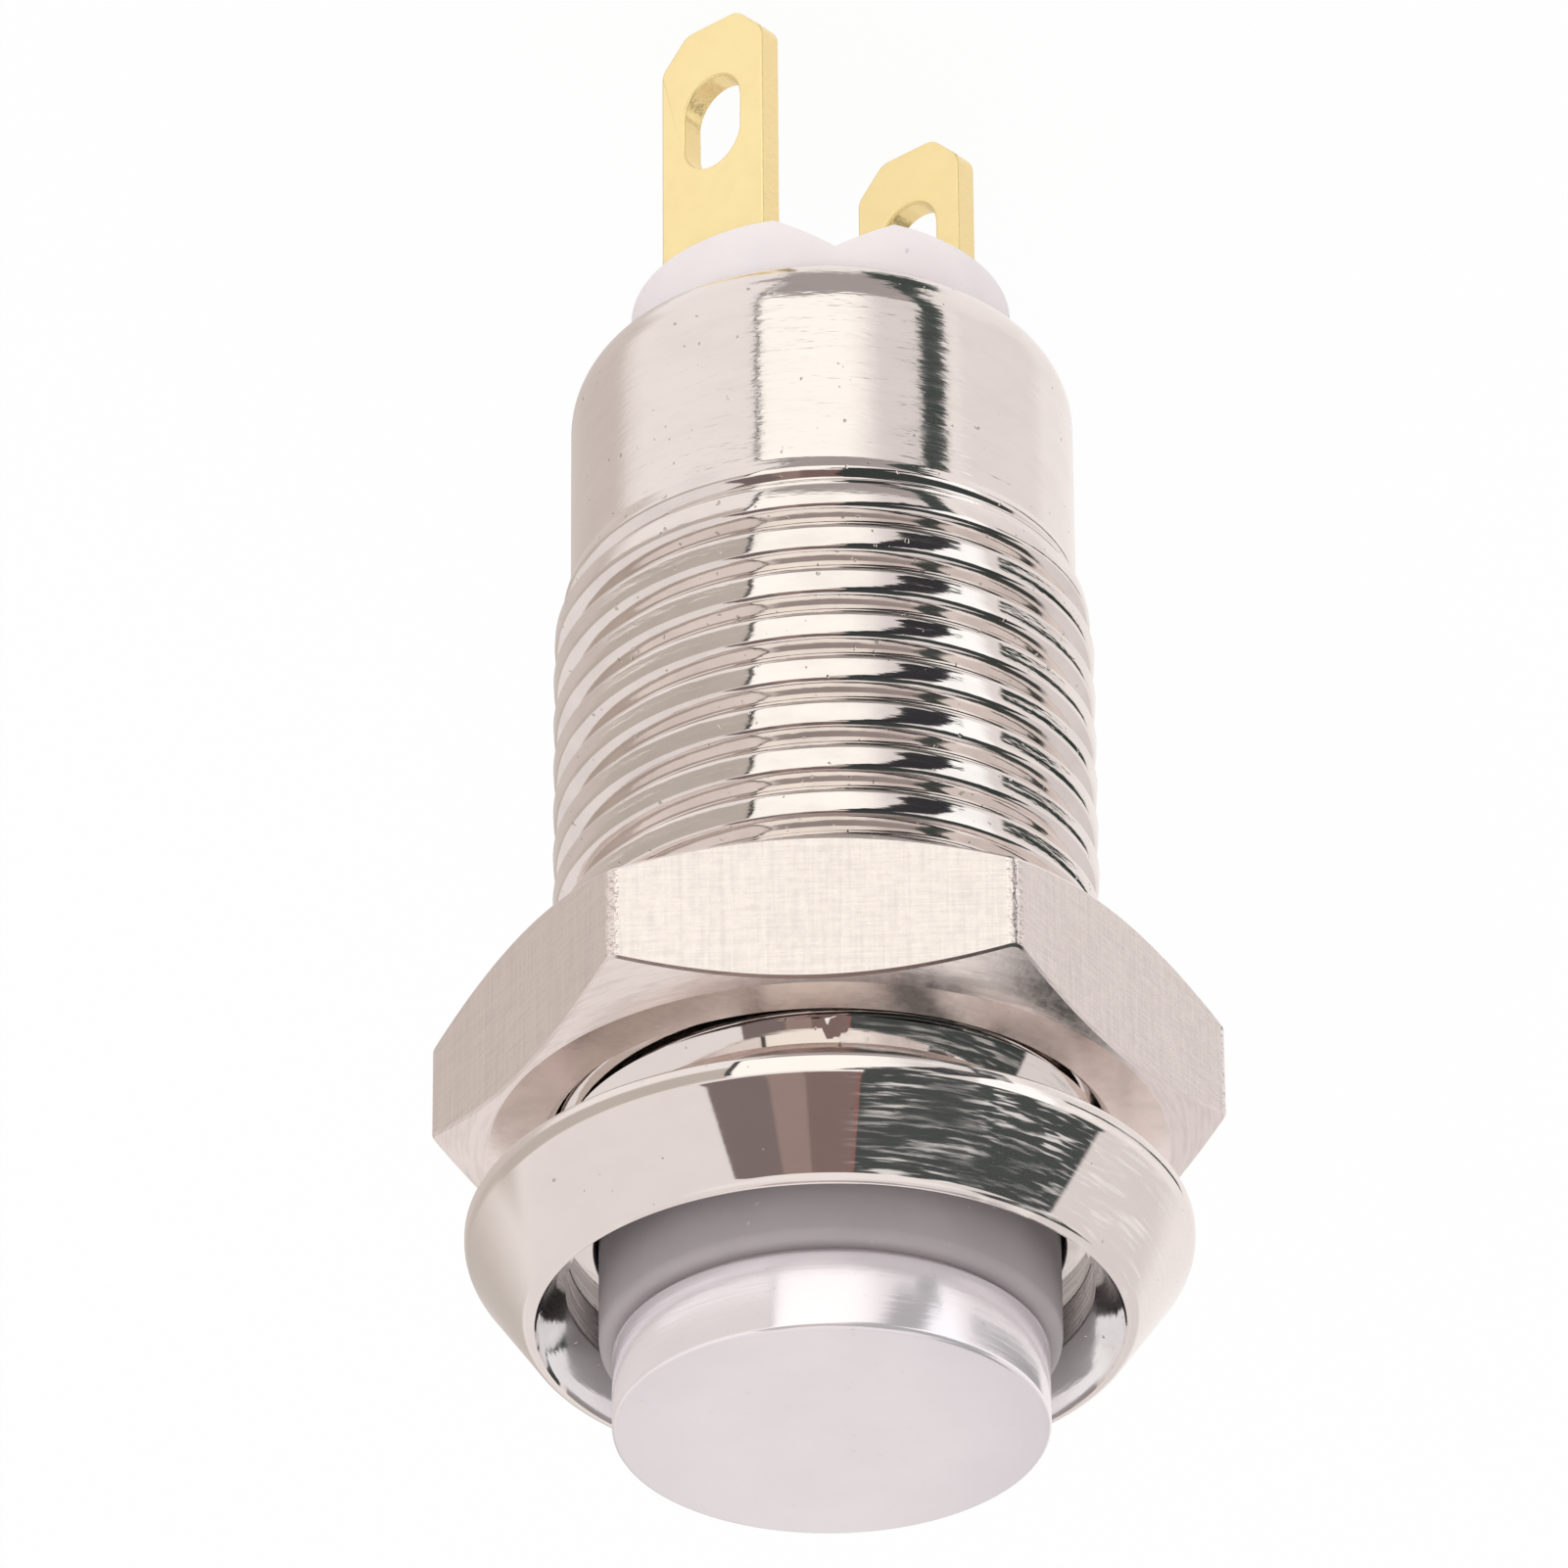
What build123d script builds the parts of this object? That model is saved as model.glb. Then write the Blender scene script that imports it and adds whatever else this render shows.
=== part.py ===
# Latching push button switch for an 8 mm panel hole, with two solder tags.
# Frame: +Z runs out of the button along the barrel's axis, z = 0 is the seat face under
# the head, and the two tags stand on the X axis. All sizes are in millimetres.

import os
from math import asin, atan2, cos, degrees, hypot, radians, sin, sqrt, tan

from build123d import *

os.makedirs("parts", exist_ok=True)

# Head of the housing
head_r = 5.25
head_lip_h = 0.30
head_h = 1.57
head_rim_r = 4.30
head_rim_flat = 0.10
head_edge_break = 0.06
countersink_land = 0.10
counterbore_step = 0.40
counterbore_top = 0.93
counterbore_floor = 0.30

# Neck, thread and plain barrel
neck_r = 3.65
neck_wall = 0.27
neck_end = -1.35
thread_r = 4.00
thread_start_drop = 0.15
thread_fade = 2.25
thread_end = -10.60
thread_pitch = 0.75
thread_groove_w = 0.48
thread_groove_depth = 0.28
barrel_r = 3.75
barrel_wall = 0.29
barrel_end = -14.75
rim_roll_r = 1.10
rim_lip_w = 0.51
rim_lip_h = 0.36
rim_bead_r = 0.10
rim_bevel = 0.30
bore_step_z = -3.60

# Mounting nut
nut_flats = 10.00
nut_front = -1.29
nut_h = 2.39
nut_turn = 21.7
nut_face_inset = 0.08
nut_bevel_angle = 30.0
nut_corner_r = 0.30
nut_hole_bevel = 0.14

# Button cap and plunger
cap_step = 0.19
cap_face = 3.26
cap_front_r = 0.10
cap_rear_bevel = 0.12
boss_r = 2.40
boss_h = 0.84
collar_front = 1.93
collar_rear = -1.20
collar_edge_r = 0.18
collar_wall = 0.62
spring_pocket_top = 0.90
stem_r = 1.10
stem_flats = 1.80
stem_grip = 1.40

# Strokes
press_travel = 1.80
latched_travel = 1.20
contact_stroke = 1.00

# Guide sleeve
sleeve_wall = 0.54
sleeve_front_wall = 0.80
rib_w = 0.80
rib_depth = 0.40
rib_h = 4.00

# Cam slider
slider_half_x = 1.75
slider_rear_y = 1.50
slider_h = 4.15
slider_corner_r = 0.30
track_depth = 0.60
track_w = 0.56
track_side_step = 0.95
post_r = 0.50
spring_well_r = 0.92
spring_well_depth = 1.40

# Latch pin, the post that carries it, and its leaf spring
pin_r = 0.20
pin_bend_r = 0.30
pin_length = 3.65
pivot_h = 1.00
pin_post_half_x = 0.75
pin_post_wall = 0.80
pin_post_h = 1.40
pin_post_edge_r = 0.25
leaf_t = 0.10
leaf_half_x = 0.80
leaf_h = 3.60
leaf_root = 0.45
leaf_flare = 0.12
leaf_flare_h = 0.70

# Contacts and the plate that bridges them
bridge_t = 0.25
bridge_margin = 0.20
bridge_half_y = 0.70
bridge_corner_r = 0.35
contact_r = 0.42
contact_h = 0.25
contact_edge = 0.06
contact_shank_r = 0.24
retainer_r = 0.78
retainer_t = 0.30

# Springs
return_wire_r = 0.17
return_coil_r = 1.95
return_pitch = 1.10
contact_wire_r = 0.09
contact_coil_r = 0.71
contact_pitch = 0.62
wire_sides = 8

# Base
base_face = -15.70
base_top = -12.00
base_edge_r = 0.08
groove_depth = 0.52
groove_angle = 120.0
groove_turn = -45.0
base_well_margin = 0.16
base_well_depth = 0.50

# Solder tags
tag_margin = 0.176
tag_t = 0.40
tag_w = 2.00
tag_tip = -19.90
tag_corner = 0.50
tag_slot_w = 1.10
tag_slot_h = 1.60
tag_slot_z = -18.10
tag_foot_gap = 0.20
tag_bend_r = 0.42

# Clearances
collar_gap = 0.06
slide_gap = 0.05
insert_gap = 0.02
nut_gap = 0.05
lip_gap = 0.10
stop_gap = 0.04
pin_run_gap = 0.07
pin_tip_gap = 0.05
pin_hole_gap = 0.03
leaf_gap = 0.03
leaf_clear = 0.065
rivet_gap = 0.01
radius_match = 1e-4

# Values worked out from the ones above
front_bore_r = neck_r - neck_wall
rear_bore_r = barrel_r - barrel_wall
rim_hole_r = rear_bore_r - rim_lip_w
counterbore_r = front_bore_r + counterbore_step
countersink_r = head_rim_r - countersink_land
thread_start_r = thread_r - thread_start_drop
thread_runout = thread_end + thread_r - barrel_r
thread_turns = int((neck_end - thread_runout) / thread_pitch)
nut_rear = nut_front - nut_h
nut_face_r = 0.5 * nut_flats - nut_face_inset
collar_r = front_bore_r - collar_gap
cap_r = collar_r - cap_step
spring_pocket_r = collar_r - collar_wall
sleeve_r = rear_bore_r - insert_gap
sleeve_inner_r = sleeve_r - sleeve_wall
sleeve_front = bore_step_z - insert_gap
sleeve_ceiling = sleeve_front - sleeve_front_wall
rib_reach = slider_half_x - rib_depth
slider_top = sleeve_ceiling - stop_gap
slider_rear_end = slider_top - slider_h
well_ceiling = slider_rear_end + spring_well_depth
stem_end = slider_top - stem_grip
base_r = rim_hole_r - lip_gap
base_well_r = retainer_r + base_well_margin
tag_x = sqrt((base_r - tag_margin) ** 2 - (0.5 * tag_w) ** 2) - 0.5 * tag_t
contact_x = 0.5 * (retainer_r + tag_x + 0.5 * tag_t - tag_bend_r)
tag_foot_inner = retainer_r + tag_foot_gap
bridge_half_x = contact_x + contact_r + bridge_margin
foot_top = base_top + tag_t
fixed_contact_top = foot_top + contact_h
bridge_bottom = fixed_contact_top + insert_gap + contact_stroke + contact_h
bridge_top = bridge_bottom + bridge_t
retainer_top = bridge_bottom - insert_gap
post_end = retainer_top - retainer_t
pivot_z = base_top + pivot_h
leaf_back_y = -sqrt((sleeve_inner_r - leaf_clear) ** 2 - leaf_half_x**2)
leaf_face_y = leaf_back_y + leaf_flare + leaf_t
pin_run_y = leaf_face_y + leaf_gap + pin_r
slider_front_y = pin_run_y + pin_r + pin_run_gap
pin_tip_y = slider_front_y + track_depth - pin_tip_gap
pin_tip_z = pivot_z + pin_length
swing = asin(track_side_step / pin_length)


def stem_section(gap):
    """The stem's round section with two flats, grown by a clearance."""
    Circle(stem_r + gap)
    Rectangle(2 * (stem_r + gap), stem_flats + 2 * gap, mode=Mode.INTERSECT)


# Housing: one turned piece with the head, neck, threaded barrel and rolled rear rim.
# The thread is drawn as a ring groove for each turn, and its crest rises behind the neck.
roll_centre_r = barrel_r - rim_roll_r
roll_centre_z = barrel_end + rim_roll_r
roll_end_angle = -atan2(sqrt(rim_roll_r**2 - (rim_hole_r - roll_centre_r) ** 2), rim_hole_r - roll_centre_r)
lip_z = roll_centre_z + rim_roll_r * sin(roll_end_angle)
lip_inside = lip_z + rim_lip_h
with BuildPart() as housing:
    with BuildSketch(Plane.XZ):
        with BuildLine():
            Polyline(
                (rim_hole_r, lip_z),
                (rim_hole_r, lip_inside),
                (rear_bore_r - rim_bevel, lip_inside),
                (rear_bore_r, lip_inside + rim_bevel),
                (rear_bore_r, bore_step_z),
                (front_bore_r, bore_step_z),
                (front_bore_r, counterbore_floor),
                (counterbore_r, counterbore_floor),
                (counterbore_r, counterbore_top),
                (countersink_r, head_h - head_edge_break),
                (head_rim_r - 0.5 * head_rim_flat, head_h),
                (head_rim_r + 0.5 * head_rim_flat, head_h),
                (head_r, head_lip_h),
                (head_r, head_edge_break),
                (head_r - head_edge_break, 0),
                (neck_r, 0),
                (neck_r, neck_end),
                (thread_start_r, neck_end),
                (thread_r, neck_end - thread_fade),
                (thread_r, thread_runout),
                (barrel_r, thread_end),
                (barrel_r, roll_centre_z),
            )
            ThreePointArc(
                (barrel_r, roll_centre_z),
                (
                    roll_centre_r + rim_roll_r * cos(0.5 * roll_end_angle),
                    roll_centre_z + rim_roll_r * sin(0.5 * roll_end_angle),
                ),
                (rim_hole_r, lip_z),
            )
        make_face()
        grooves = [(thread_r, neck_end - (turn + 0.5) * thread_pitch) for turn in range(thread_turns)]
        with Locations(*grooves):
            Polygon(
                (0, 0.5 * thread_groove_w),
                (-thread_groove_depth, 0),
                (0, -0.5 * thread_groove_w),
                align=None,
                mode=Mode.SUBTRACT,
            )
    revolve(axis=Axis.Z)
    circles = housing.edges().filter_by(GeomType.CIRCLE)
    fillet(circles.group_by(Axis.Z)[0], rim_bead_r)
housing.part.label = "housing"
export_step(housing.part, "parts/housing.step")


# Mounting nut: a thin hexagon, bevelled on both faces, with its corners broken
nut_hole_r = thread_r + nut_gap
nut_corner_reach = 0.5 * nut_flats / cos(radians(30))
nut_bevel_drop = (nut_corner_reach - nut_face_r) * tan(radians(nut_bevel_angle))
with BuildPart() as mounting_nut:
    with BuildSketch(Plane.XY.offset(nut_rear)):
        RegularPolygon(0.5 * nut_flats, 6, major_radius=False, rotation=nut_turn - 30)
        Circle(nut_hole_r, mode=Mode.SUBTRACT)
    extrude(amount=nut_h)
    upright = mounting_nut.edges().filter_by(Axis.Z)
    fillet(upright.filter_by(lambda e: hypot(e.center().X, e.center().Y) > nut_face_r), nut_corner_r)
    with BuildSketch(Plane.XZ):
        with BuildLine():
            Polyline(
                (0, nut_rear),
                (nut_face_r, nut_rear),
                (nut_corner_reach, nut_rear + nut_bevel_drop),
                (nut_corner_reach, nut_front - nut_bevel_drop),
                (nut_face_r, nut_front),
                (0, nut_front),
                close=True,
            )
        make_face()
    revolve(axis=Axis.Z, mode=Mode.INTERSECT)
    rings = mounting_nut.edges().filter_by(GeomType.CIRCLE)
    chamfer(rings.filter_by(lambda e: abs(e.radius - nut_hole_r) < radius_match), nut_hole_bevel)
mounting_nut.part.label = "mounting_nut"
export_step(mounting_nut.part, "parts/mounting_nut.step")


# Button cap: a turned cup that is pressed over the plunger's boss
with BuildPart() as button_cap:
    with BuildSketch(Plane.XZ):
        with BuildLine():
            Polyline(
                (0, cap_face),
                (cap_r, cap_face),
                (cap_r, collar_front + cap_rear_bevel),
                (cap_r - cap_rear_bevel, collar_front),
                (boss_r + insert_gap, collar_front),
                (boss_r + insert_gap, collar_front + boss_h + insert_gap),
                (0, collar_front + boss_h + insert_gap),
                close=True,
            )
        make_face()
    revolve(axis=Axis.Z)
    fillet(button_cap.edges().group_by(Axis.Z)[-1], cap_front_r)
button_cap.part.label = "button_cap"
export_step(button_cap.part, "parts/button_cap.step")


# Plunger: the moulded collar with its boss in front, spring pocket behind and flatted stem
with BuildPart() as plunger:
    with BuildSketch(Plane.XZ):
        with BuildLine():
            Polyline(
                (0, collar_front + boss_h),
                (boss_r, collar_front + boss_h),
                (boss_r, collar_front),
                (collar_r, collar_front),
                (collar_r, collar_rear),
                (spring_pocket_r, collar_rear),
                (spring_pocket_r, spring_pocket_top),
                (0, spring_pocket_top),
                close=True,
            )
        make_face()
    revolve(axis=Axis.Z)
    shoulders = plunger.edges().filter_by(GeomType.CIRCLE)
    shoulders = shoulders.filter_by(lambda e: abs(e.radius - collar_r) < radius_match)
    fillet(shoulders.sort_by(Axis.Z)[-1], collar_edge_r)
    with BuildSketch(Plane.XY.offset(stem_end)):
        stem_section(0)
    extrude(amount=spring_pocket_top - stem_end)
plunger.part.label = "plunger"
export_step(plunger.part, "parts/plunger.step")


# Return spring, between the sleeve's front wall and the pocket in the plunger.
# The springs' round wire is drawn with eight sides, which keeps their facets few.
return_low = sleeve_front + insert_gap + return_wire_r
return_high = spring_pocket_top - insert_gap - return_wire_r
with BuildPart() as return_spring:
    with BuildLine(Plane.XY.offset(return_low)):
        coil = Helix(return_pitch, return_high - return_low, return_coil_r)
    with BuildSketch(Plane(origin=coil @ 0, z_dir=coil % 0)):
        RegularPolygon(return_wire_r, wire_sides)
    sweep(path=coil, is_frenet=True)
return_spring.part.label = "return_spring"
export_step(return_spring.part, "parts/return_spring.step")


# Guide sleeve: a cup with a flatted hole for the stem and two ribs that keep the slider from turning
with BuildPart() as guide_sleeve:
    with BuildSketch(Plane.XY.offset(base_top)):
        Circle(sleeve_r)
    extrude(amount=sleeve_front - base_top)
    with BuildSketch(Plane.XY.offset(base_top)):
        Circle(sleeve_inner_r)
    extrude(amount=sleeve_ceiling - base_top, mode=Mode.SUBTRACT)
    with BuildSketch(Plane.XY.offset(sleeve_ceiling - rib_h)):
        Rectangle(2 * sleeve_inner_r + sleeve_wall, rib_w)
        Rectangle(2 * rib_reach, rib_w, mode=Mode.SUBTRACT)
    extrude(amount=rib_h)
    with BuildSketch(Plane.XY.offset(sleeve_front)):
        stem_section(slide_gap)
    extrude(amount=-sleeve_front_wall, mode=Mode.SUBTRACT)
guide_sleeve.part.label = "guide_sleeve"
export_step(guide_sleeve.part, "parts/guide_sleeve.step")


# Cam slider: gripped on the stem, with the heart-shaped latch track on its -Y face
# and a post behind that carries the bridge plate. The pin's end starts at the foot of
# the track, climbs one side to the top on the press, drops into the notch of the heart
# to hold the button in, and comes back down the other side after the second press.
track_foot = Vector(0, pin_tip_z)
track_side_z = pivot_z + pin_length * cos(swing) + press_travel
track_sides = [Vector(side * track_side_step, track_side_z) for side in (1, -1)]
track_notch = Vector(0, pin_tip_z + latched_travel)
with BuildPart() as cam_slider:
    slider_mid_y = 0.5 * (slider_front_y + slider_rear_y)
    with BuildSketch(Plane.XY.offset(slider_rear_end)):
        with Locations((0, slider_mid_y)):
            RectangleRounded(2 * slider_half_x, slider_rear_y - slider_front_y, slider_corner_r)
        for side in (1, -1):
            with Locations((side * (rib_reach - slide_gap + rib_depth), 0)):
                Rectangle(2 * rib_depth, rib_w + 2 * slide_gap, mode=Mode.SUBTRACT)
    extrude(amount=slider_h)
    with BuildSketch(Plane.XY.offset(slider_top)):
        stem_section(rivet_gap)
    extrude(amount=-(stem_grip + insert_gap), mode=Mode.SUBTRACT)
    with BuildSketch(Plane.XY.offset(slider_rear_end)):
        Circle(spring_well_r)
    extrude(amount=spring_well_depth, mode=Mode.SUBTRACT)
    with BuildSketch(Plane.XY.offset(post_end)):
        Circle(post_r)
    extrude(amount=well_ceiling - post_end)
    with BuildSketch(Plane(origin=(0, slider_front_y, 0), x_dir=(1, 0, 0), z_dir=(0, -1, 0))):
        for side in track_sides:
            for start in (track_foot, track_notch):
                lane = side - start
                middle = start + lane * 0.5
                with Locations((middle.X, middle.Y)):
                    SlotCenterToCenter(lane.length, track_w, rotation=degrees(atan2(lane.Y, lane.X)))
    extrude(amount=-track_depth, mode=Mode.SUBTRACT)
cam_slider.part.label = "cam_slider"
export_step(cam_slider.part, "parts/cam_slider.step")


# Latch pin: a wire with both ends turned inwards, one in the track and one in the post
with BuildPart() as latch_pin:
    with BuildLine():
        wire_line = FilletPolyline(
            (0, pin_tip_y, pin_tip_z),
            (0, pin_run_y, pin_tip_z),
            (0, pin_run_y, pivot_z),
            (0, slider_front_y + pin_post_wall, pivot_z),
            radius=pin_bend_r,
        )
    with BuildSketch(Plane(origin=wire_line @ 0, z_dir=wire_line % 0)):
        Circle(pin_r)
    sweep(path=wire_line)
latch_pin.part.label = "latch_pin"
export_step(latch_pin.part, "parts/latch_pin.step")


# Leaf spring behind the latch pin, rooted in a slit in the base
leaf_top = base_top + leaf_h
with BuildPart() as latch_leaf_spring:
    with BuildSketch(Plane.YZ):
        with BuildLine():
            Polyline(
                (leaf_face_y, base_top - leaf_root),
                (leaf_face_y, leaf_top - leaf_flare_h),
                (leaf_face_y - leaf_flare, leaf_top),
                (leaf_face_y - leaf_flare - leaf_t, leaf_top),
                (leaf_face_y - leaf_t, leaf_top - leaf_flare_h),
                (leaf_face_y - leaf_t, base_top - leaf_root),
                close=True,
            )
        make_face()
    extrude(amount=leaf_half_x, both=True)
latch_leaf_spring.part.label = "latch_leaf_spring"
export_step(latch_leaf_spring.part, "parts/latch_leaf_spring.step")


# Bridge plate, which joins the two contacts when the button goes in
with BuildPart() as contact_bridge:
    with BuildSketch(Plane.XY.offset(bridge_bottom)):
        RectangleRounded(2 * bridge_half_x, 2 * bridge_half_y, bridge_corner_r)
        Circle(post_r + slide_gap, mode=Mode.SUBTRACT)
        with Locations((contact_x, 0), (-contact_x, 0)):
            Circle(contact_shank_r + rivet_gap, mode=Mode.SUBTRACT)
    extrude(amount=bridge_t)
contact_bridge.part.label = "contact_bridge"
export_step(contact_bridge.part, "parts/contact_bridge.step")


# Push-on washer at the end of the slider's post, which stops the bridge plate
with BuildPart() as contact_retainer:
    with BuildSketch(Plane.XY.offset(post_end)):
        Circle(retainer_r)
        Circle(post_r, mode=Mode.SUBTRACT)
    extrude(amount=retainer_t)
contact_retainer.part.label = "contact_retainer"
export_step(contact_retainer.part, "parts/contact_retainer.step")


# Contact spring, between the slider's well and the bridge plate
contact_low = bridge_top + insert_gap + contact_wire_r
contact_high = well_ceiling - insert_gap - contact_wire_r
with BuildPart() as contact_spring:
    with BuildLine(Plane.XY.offset(contact_low)):
        fine_coil = Helix(contact_pitch, contact_high - contact_low, contact_coil_r)
    with BuildSketch(Plane(origin=fine_coil @ 0, z_dir=fine_coil % 0)):
        RegularPolygon(contact_wire_r, wire_sides)
    sweep(path=fine_coil, is_frenet=True)
contact_spring.part.label = "contact_spring"
export_step(contact_spring.part, "parts/contact_spring.step")


# Four rivet contacts: two look up from the tags' feet, two look down from the bridge plate
rivets = (
    ("fixed_contact_right", contact_x, foot_top, 1, tag_t),
    ("fixed_contact_left", -contact_x, foot_top, 1, tag_t),
    ("bridge_contact_right", contact_x, bridge_bottom, -1, bridge_t),
    ("bridge_contact_left", -contact_x, bridge_bottom, -1, bridge_t),
)
for name, place_x, seat_z, facing, grip in rivets:
    with BuildPart() as rivet:
        with BuildSketch(Plane.XY.offset(seat_z)):
            with Locations((place_x, 0)):
                Circle(contact_r)
        extrude(amount=facing * contact_h)
        ends = rivet.edges().filter_by(GeomType.CIRCLE).sort_by(Axis.Z)
        chamfer(ends[-1 if facing > 0 else 0], contact_edge)
        with BuildSketch(Plane.XY.offset(seat_z)):
            with Locations((place_x, 0)):
                Circle(contact_shank_r)
        extrude(amount=-facing * grip)
    rivet.part.label = name
    export_step(rivet.part, f"parts/{name}.step")


# Base: the moulded plug in the barrel's end, with slots for the tags, a post for the
# latch pin, a slit for its leaf spring, a well for the slider's post and a V groove
shoulder_r = rear_bore_r - insert_gap
shoulder_z = lip_inside + insert_gap
groove_half_w = groove_depth * tan(radians(0.5 * groove_angle))
groove_way = Vector(cos(radians(groove_turn)), sin(radians(groove_turn)))
groove_across = Vector(-groove_way.Y, groove_way.X)
with BuildPart() as base:
    with BuildSketch(Plane.XZ):
        with BuildLine():
            Polyline(
                (0, base_face),
                (base_r, base_face),
                (base_r, shoulder_z),
                (shoulder_r - rim_bevel, shoulder_z),
                (shoulder_r, shoulder_z + rim_bevel),
                (shoulder_r, base_top),
                (0, base_top),
                close=True,
            )
        make_face()
    revolve(axis=Axis.Z)
    fillet(base.edges().group_by(Axis.Z)[0], base_edge_r)
    with BuildSketch(Plane(origin=(0, 0, base_face), x_dir=groove_across, z_dir=groove_way)):
        with BuildLine():
            Polyline((-groove_half_w, 0), (groove_half_w, 0), (0, groove_depth), close=True)
        make_face()
    extrude(amount=base_r, both=True, mode=Mode.SUBTRACT)
    with BuildSketch(Plane.XY.offset(base_top)):
        with Locations((0, slider_front_y + 0.5 * pin_post_wall)):
            Rectangle(2 * pin_post_half_x, pin_post_wall)
    extrude(amount=pin_post_h)
    fillet(base.edges().filter_by(Axis.Y).group_by(Axis.Z)[-1], pin_post_edge_r)
    with BuildSketch(Plane(origin=(0, slider_front_y, pivot_z), x_dir=(1, 0, 0), z_dir=(0, -1, 0))):
        Circle(pin_r + pin_hole_gap)
    extrude(amount=-pin_post_wall, mode=Mode.SUBTRACT)
    with BuildSketch(Plane.XY.offset(base_top)):
        Circle(base_well_r)
    extrude(amount=-base_well_depth, mode=Mode.SUBTRACT)
    with BuildSketch(Plane.XY.offset(base_top)):
        with Locations((0, leaf_face_y - 0.5 * leaf_t)):
            Rectangle(2 * (leaf_half_x + insert_gap), leaf_t + 2 * insert_gap)
    extrude(amount=-(leaf_root + insert_gap), mode=Mode.SUBTRACT)
    with BuildSketch(Plane.XY.offset(base_top)):
        with Locations((tag_x, 0), (-tag_x, 0)):
            Rectangle(tag_t + 2 * insert_gap, tag_w + 2 * insert_gap)
    extrude(amount=base_face - base_top, mode=Mode.SUBTRACT)
base.part.label = "base"
export_step(base.part, "parts/base.step")


# Solder tags: strips bent inwards over the base, with a slot and cut corners at the tip
for name, side in (("terminal_right", 1), ("terminal_left", -1)):
    outer_x = side * (tag_x + 0.5 * tag_t)
    inner_x = side * (tag_x - 0.5 * tag_t)
    bend_x = outer_x - side * tag_bend_r
    bend_z = foot_top - tag_bend_r
    with BuildPart() as terminal:
        with BuildSketch(Plane.XZ):
            with BuildLine():
                Polyline(
                    (bend_x, foot_top),
                    (side * tag_foot_inner, foot_top),
                    (side * tag_foot_inner, base_top),
                    (inner_x, base_top),
                    (inner_x, tag_tip),
                    (outer_x, tag_tip),
                    (outer_x, bend_z),
                )
                ThreePointArc(
                    (outer_x, bend_z),
                    (
                        bend_x + side * tag_bend_r * cos(radians(45)),
                        bend_z + tag_bend_r * sin(radians(45)),
                    ),
                    (bend_x, foot_top),
                )
            make_face()
        extrude(amount=0.5 * tag_w, both=True)
        tip_edges = terminal.edges().filter_by(Axis.X).group_by(Axis.Z)[0]
        chamfer(tip_edges, tag_corner)
        with BuildSketch(Plane.YZ):
            with Locations((0, tag_slot_z)):
                SlotOverall(tag_slot_h, tag_slot_w, rotation=90)
        extrude(amount=side * (tag_x + tag_t), mode=Mode.SUBTRACT)
        with BuildSketch(Plane.XY.offset(base_top)):
            with Locations((side * contact_x, 0)):
                Circle(contact_shank_r + rivet_gap)
        extrude(amount=tag_t, mode=Mode.SUBTRACT)
    terminal.part.label = name
    export_step(terminal.part, f"parts/{name}.step")
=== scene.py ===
"""Looks of a latching push button switch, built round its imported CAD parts.

The housing with its rolled thread, the nut, the button, the base, the solder tags and the
two coil springs are modelled again with their fine detail. The others keep their CAD shapes.
"""

from math import acos, atan2, cos, pi, radians, sin, sqrt, tan

import bmesh
import bpy
from bpy.props import FloatProperty, FloatVectorProperty, IntProperty, PointerProperty
from mathutils import Matrix, Vector


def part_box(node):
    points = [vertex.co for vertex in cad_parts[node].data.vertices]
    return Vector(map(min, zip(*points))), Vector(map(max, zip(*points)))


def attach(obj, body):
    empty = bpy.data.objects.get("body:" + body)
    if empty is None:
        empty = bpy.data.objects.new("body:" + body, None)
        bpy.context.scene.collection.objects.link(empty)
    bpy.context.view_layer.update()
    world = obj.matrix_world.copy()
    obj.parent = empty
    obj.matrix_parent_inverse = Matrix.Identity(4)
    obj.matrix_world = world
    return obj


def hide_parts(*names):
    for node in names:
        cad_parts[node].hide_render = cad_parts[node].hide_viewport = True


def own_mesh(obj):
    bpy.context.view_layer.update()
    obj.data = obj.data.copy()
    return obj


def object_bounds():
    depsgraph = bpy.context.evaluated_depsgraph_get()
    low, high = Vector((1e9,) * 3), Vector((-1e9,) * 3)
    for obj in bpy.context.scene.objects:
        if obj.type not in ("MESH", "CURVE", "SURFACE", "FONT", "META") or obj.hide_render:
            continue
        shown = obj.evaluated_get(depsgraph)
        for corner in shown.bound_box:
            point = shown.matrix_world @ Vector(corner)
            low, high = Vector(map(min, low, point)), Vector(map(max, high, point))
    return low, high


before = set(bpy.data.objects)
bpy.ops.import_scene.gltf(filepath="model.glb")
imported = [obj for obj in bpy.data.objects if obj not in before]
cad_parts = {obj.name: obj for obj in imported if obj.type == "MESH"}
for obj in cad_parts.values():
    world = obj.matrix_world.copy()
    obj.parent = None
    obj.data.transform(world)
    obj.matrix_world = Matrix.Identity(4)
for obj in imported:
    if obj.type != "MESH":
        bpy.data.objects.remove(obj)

bl_info = {
    "name": "Push Button Switch",
    "version": (1, 0, 0),
    "blender": (4, 5, 0),
    "location": "View3D > Sidebar > Switch",
    "description": "Builds the pieces of a latching push button switch and its studio",
    "category": "Object",
}

MM = 0.001
# Points closer than this, in metres, are one.
TINY = 1e-7
WHITE = (1, 1, 1, 1)
# The finishes of the housing, in the order of its material slots.
ZONES = ("barrel", "thread", "head", "bore", "sink")
cad_box = [list(corner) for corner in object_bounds()]


# Settings that a user would change


def size_of(label, millimetres, about):
    """A length setting, given in millimetres and kept in metres."""
    return FloatProperty(
        name=label, description=about, default=millimetres * MM, unit="LENGTH", precision=5
    )


def colour_of(label, colour, about):
    """A colour setting."""
    return FloatVectorProperty(
        name=label, description=about, default=colour, size=3, subtype="COLOR", min=0.0, max=1.0
    )


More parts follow.
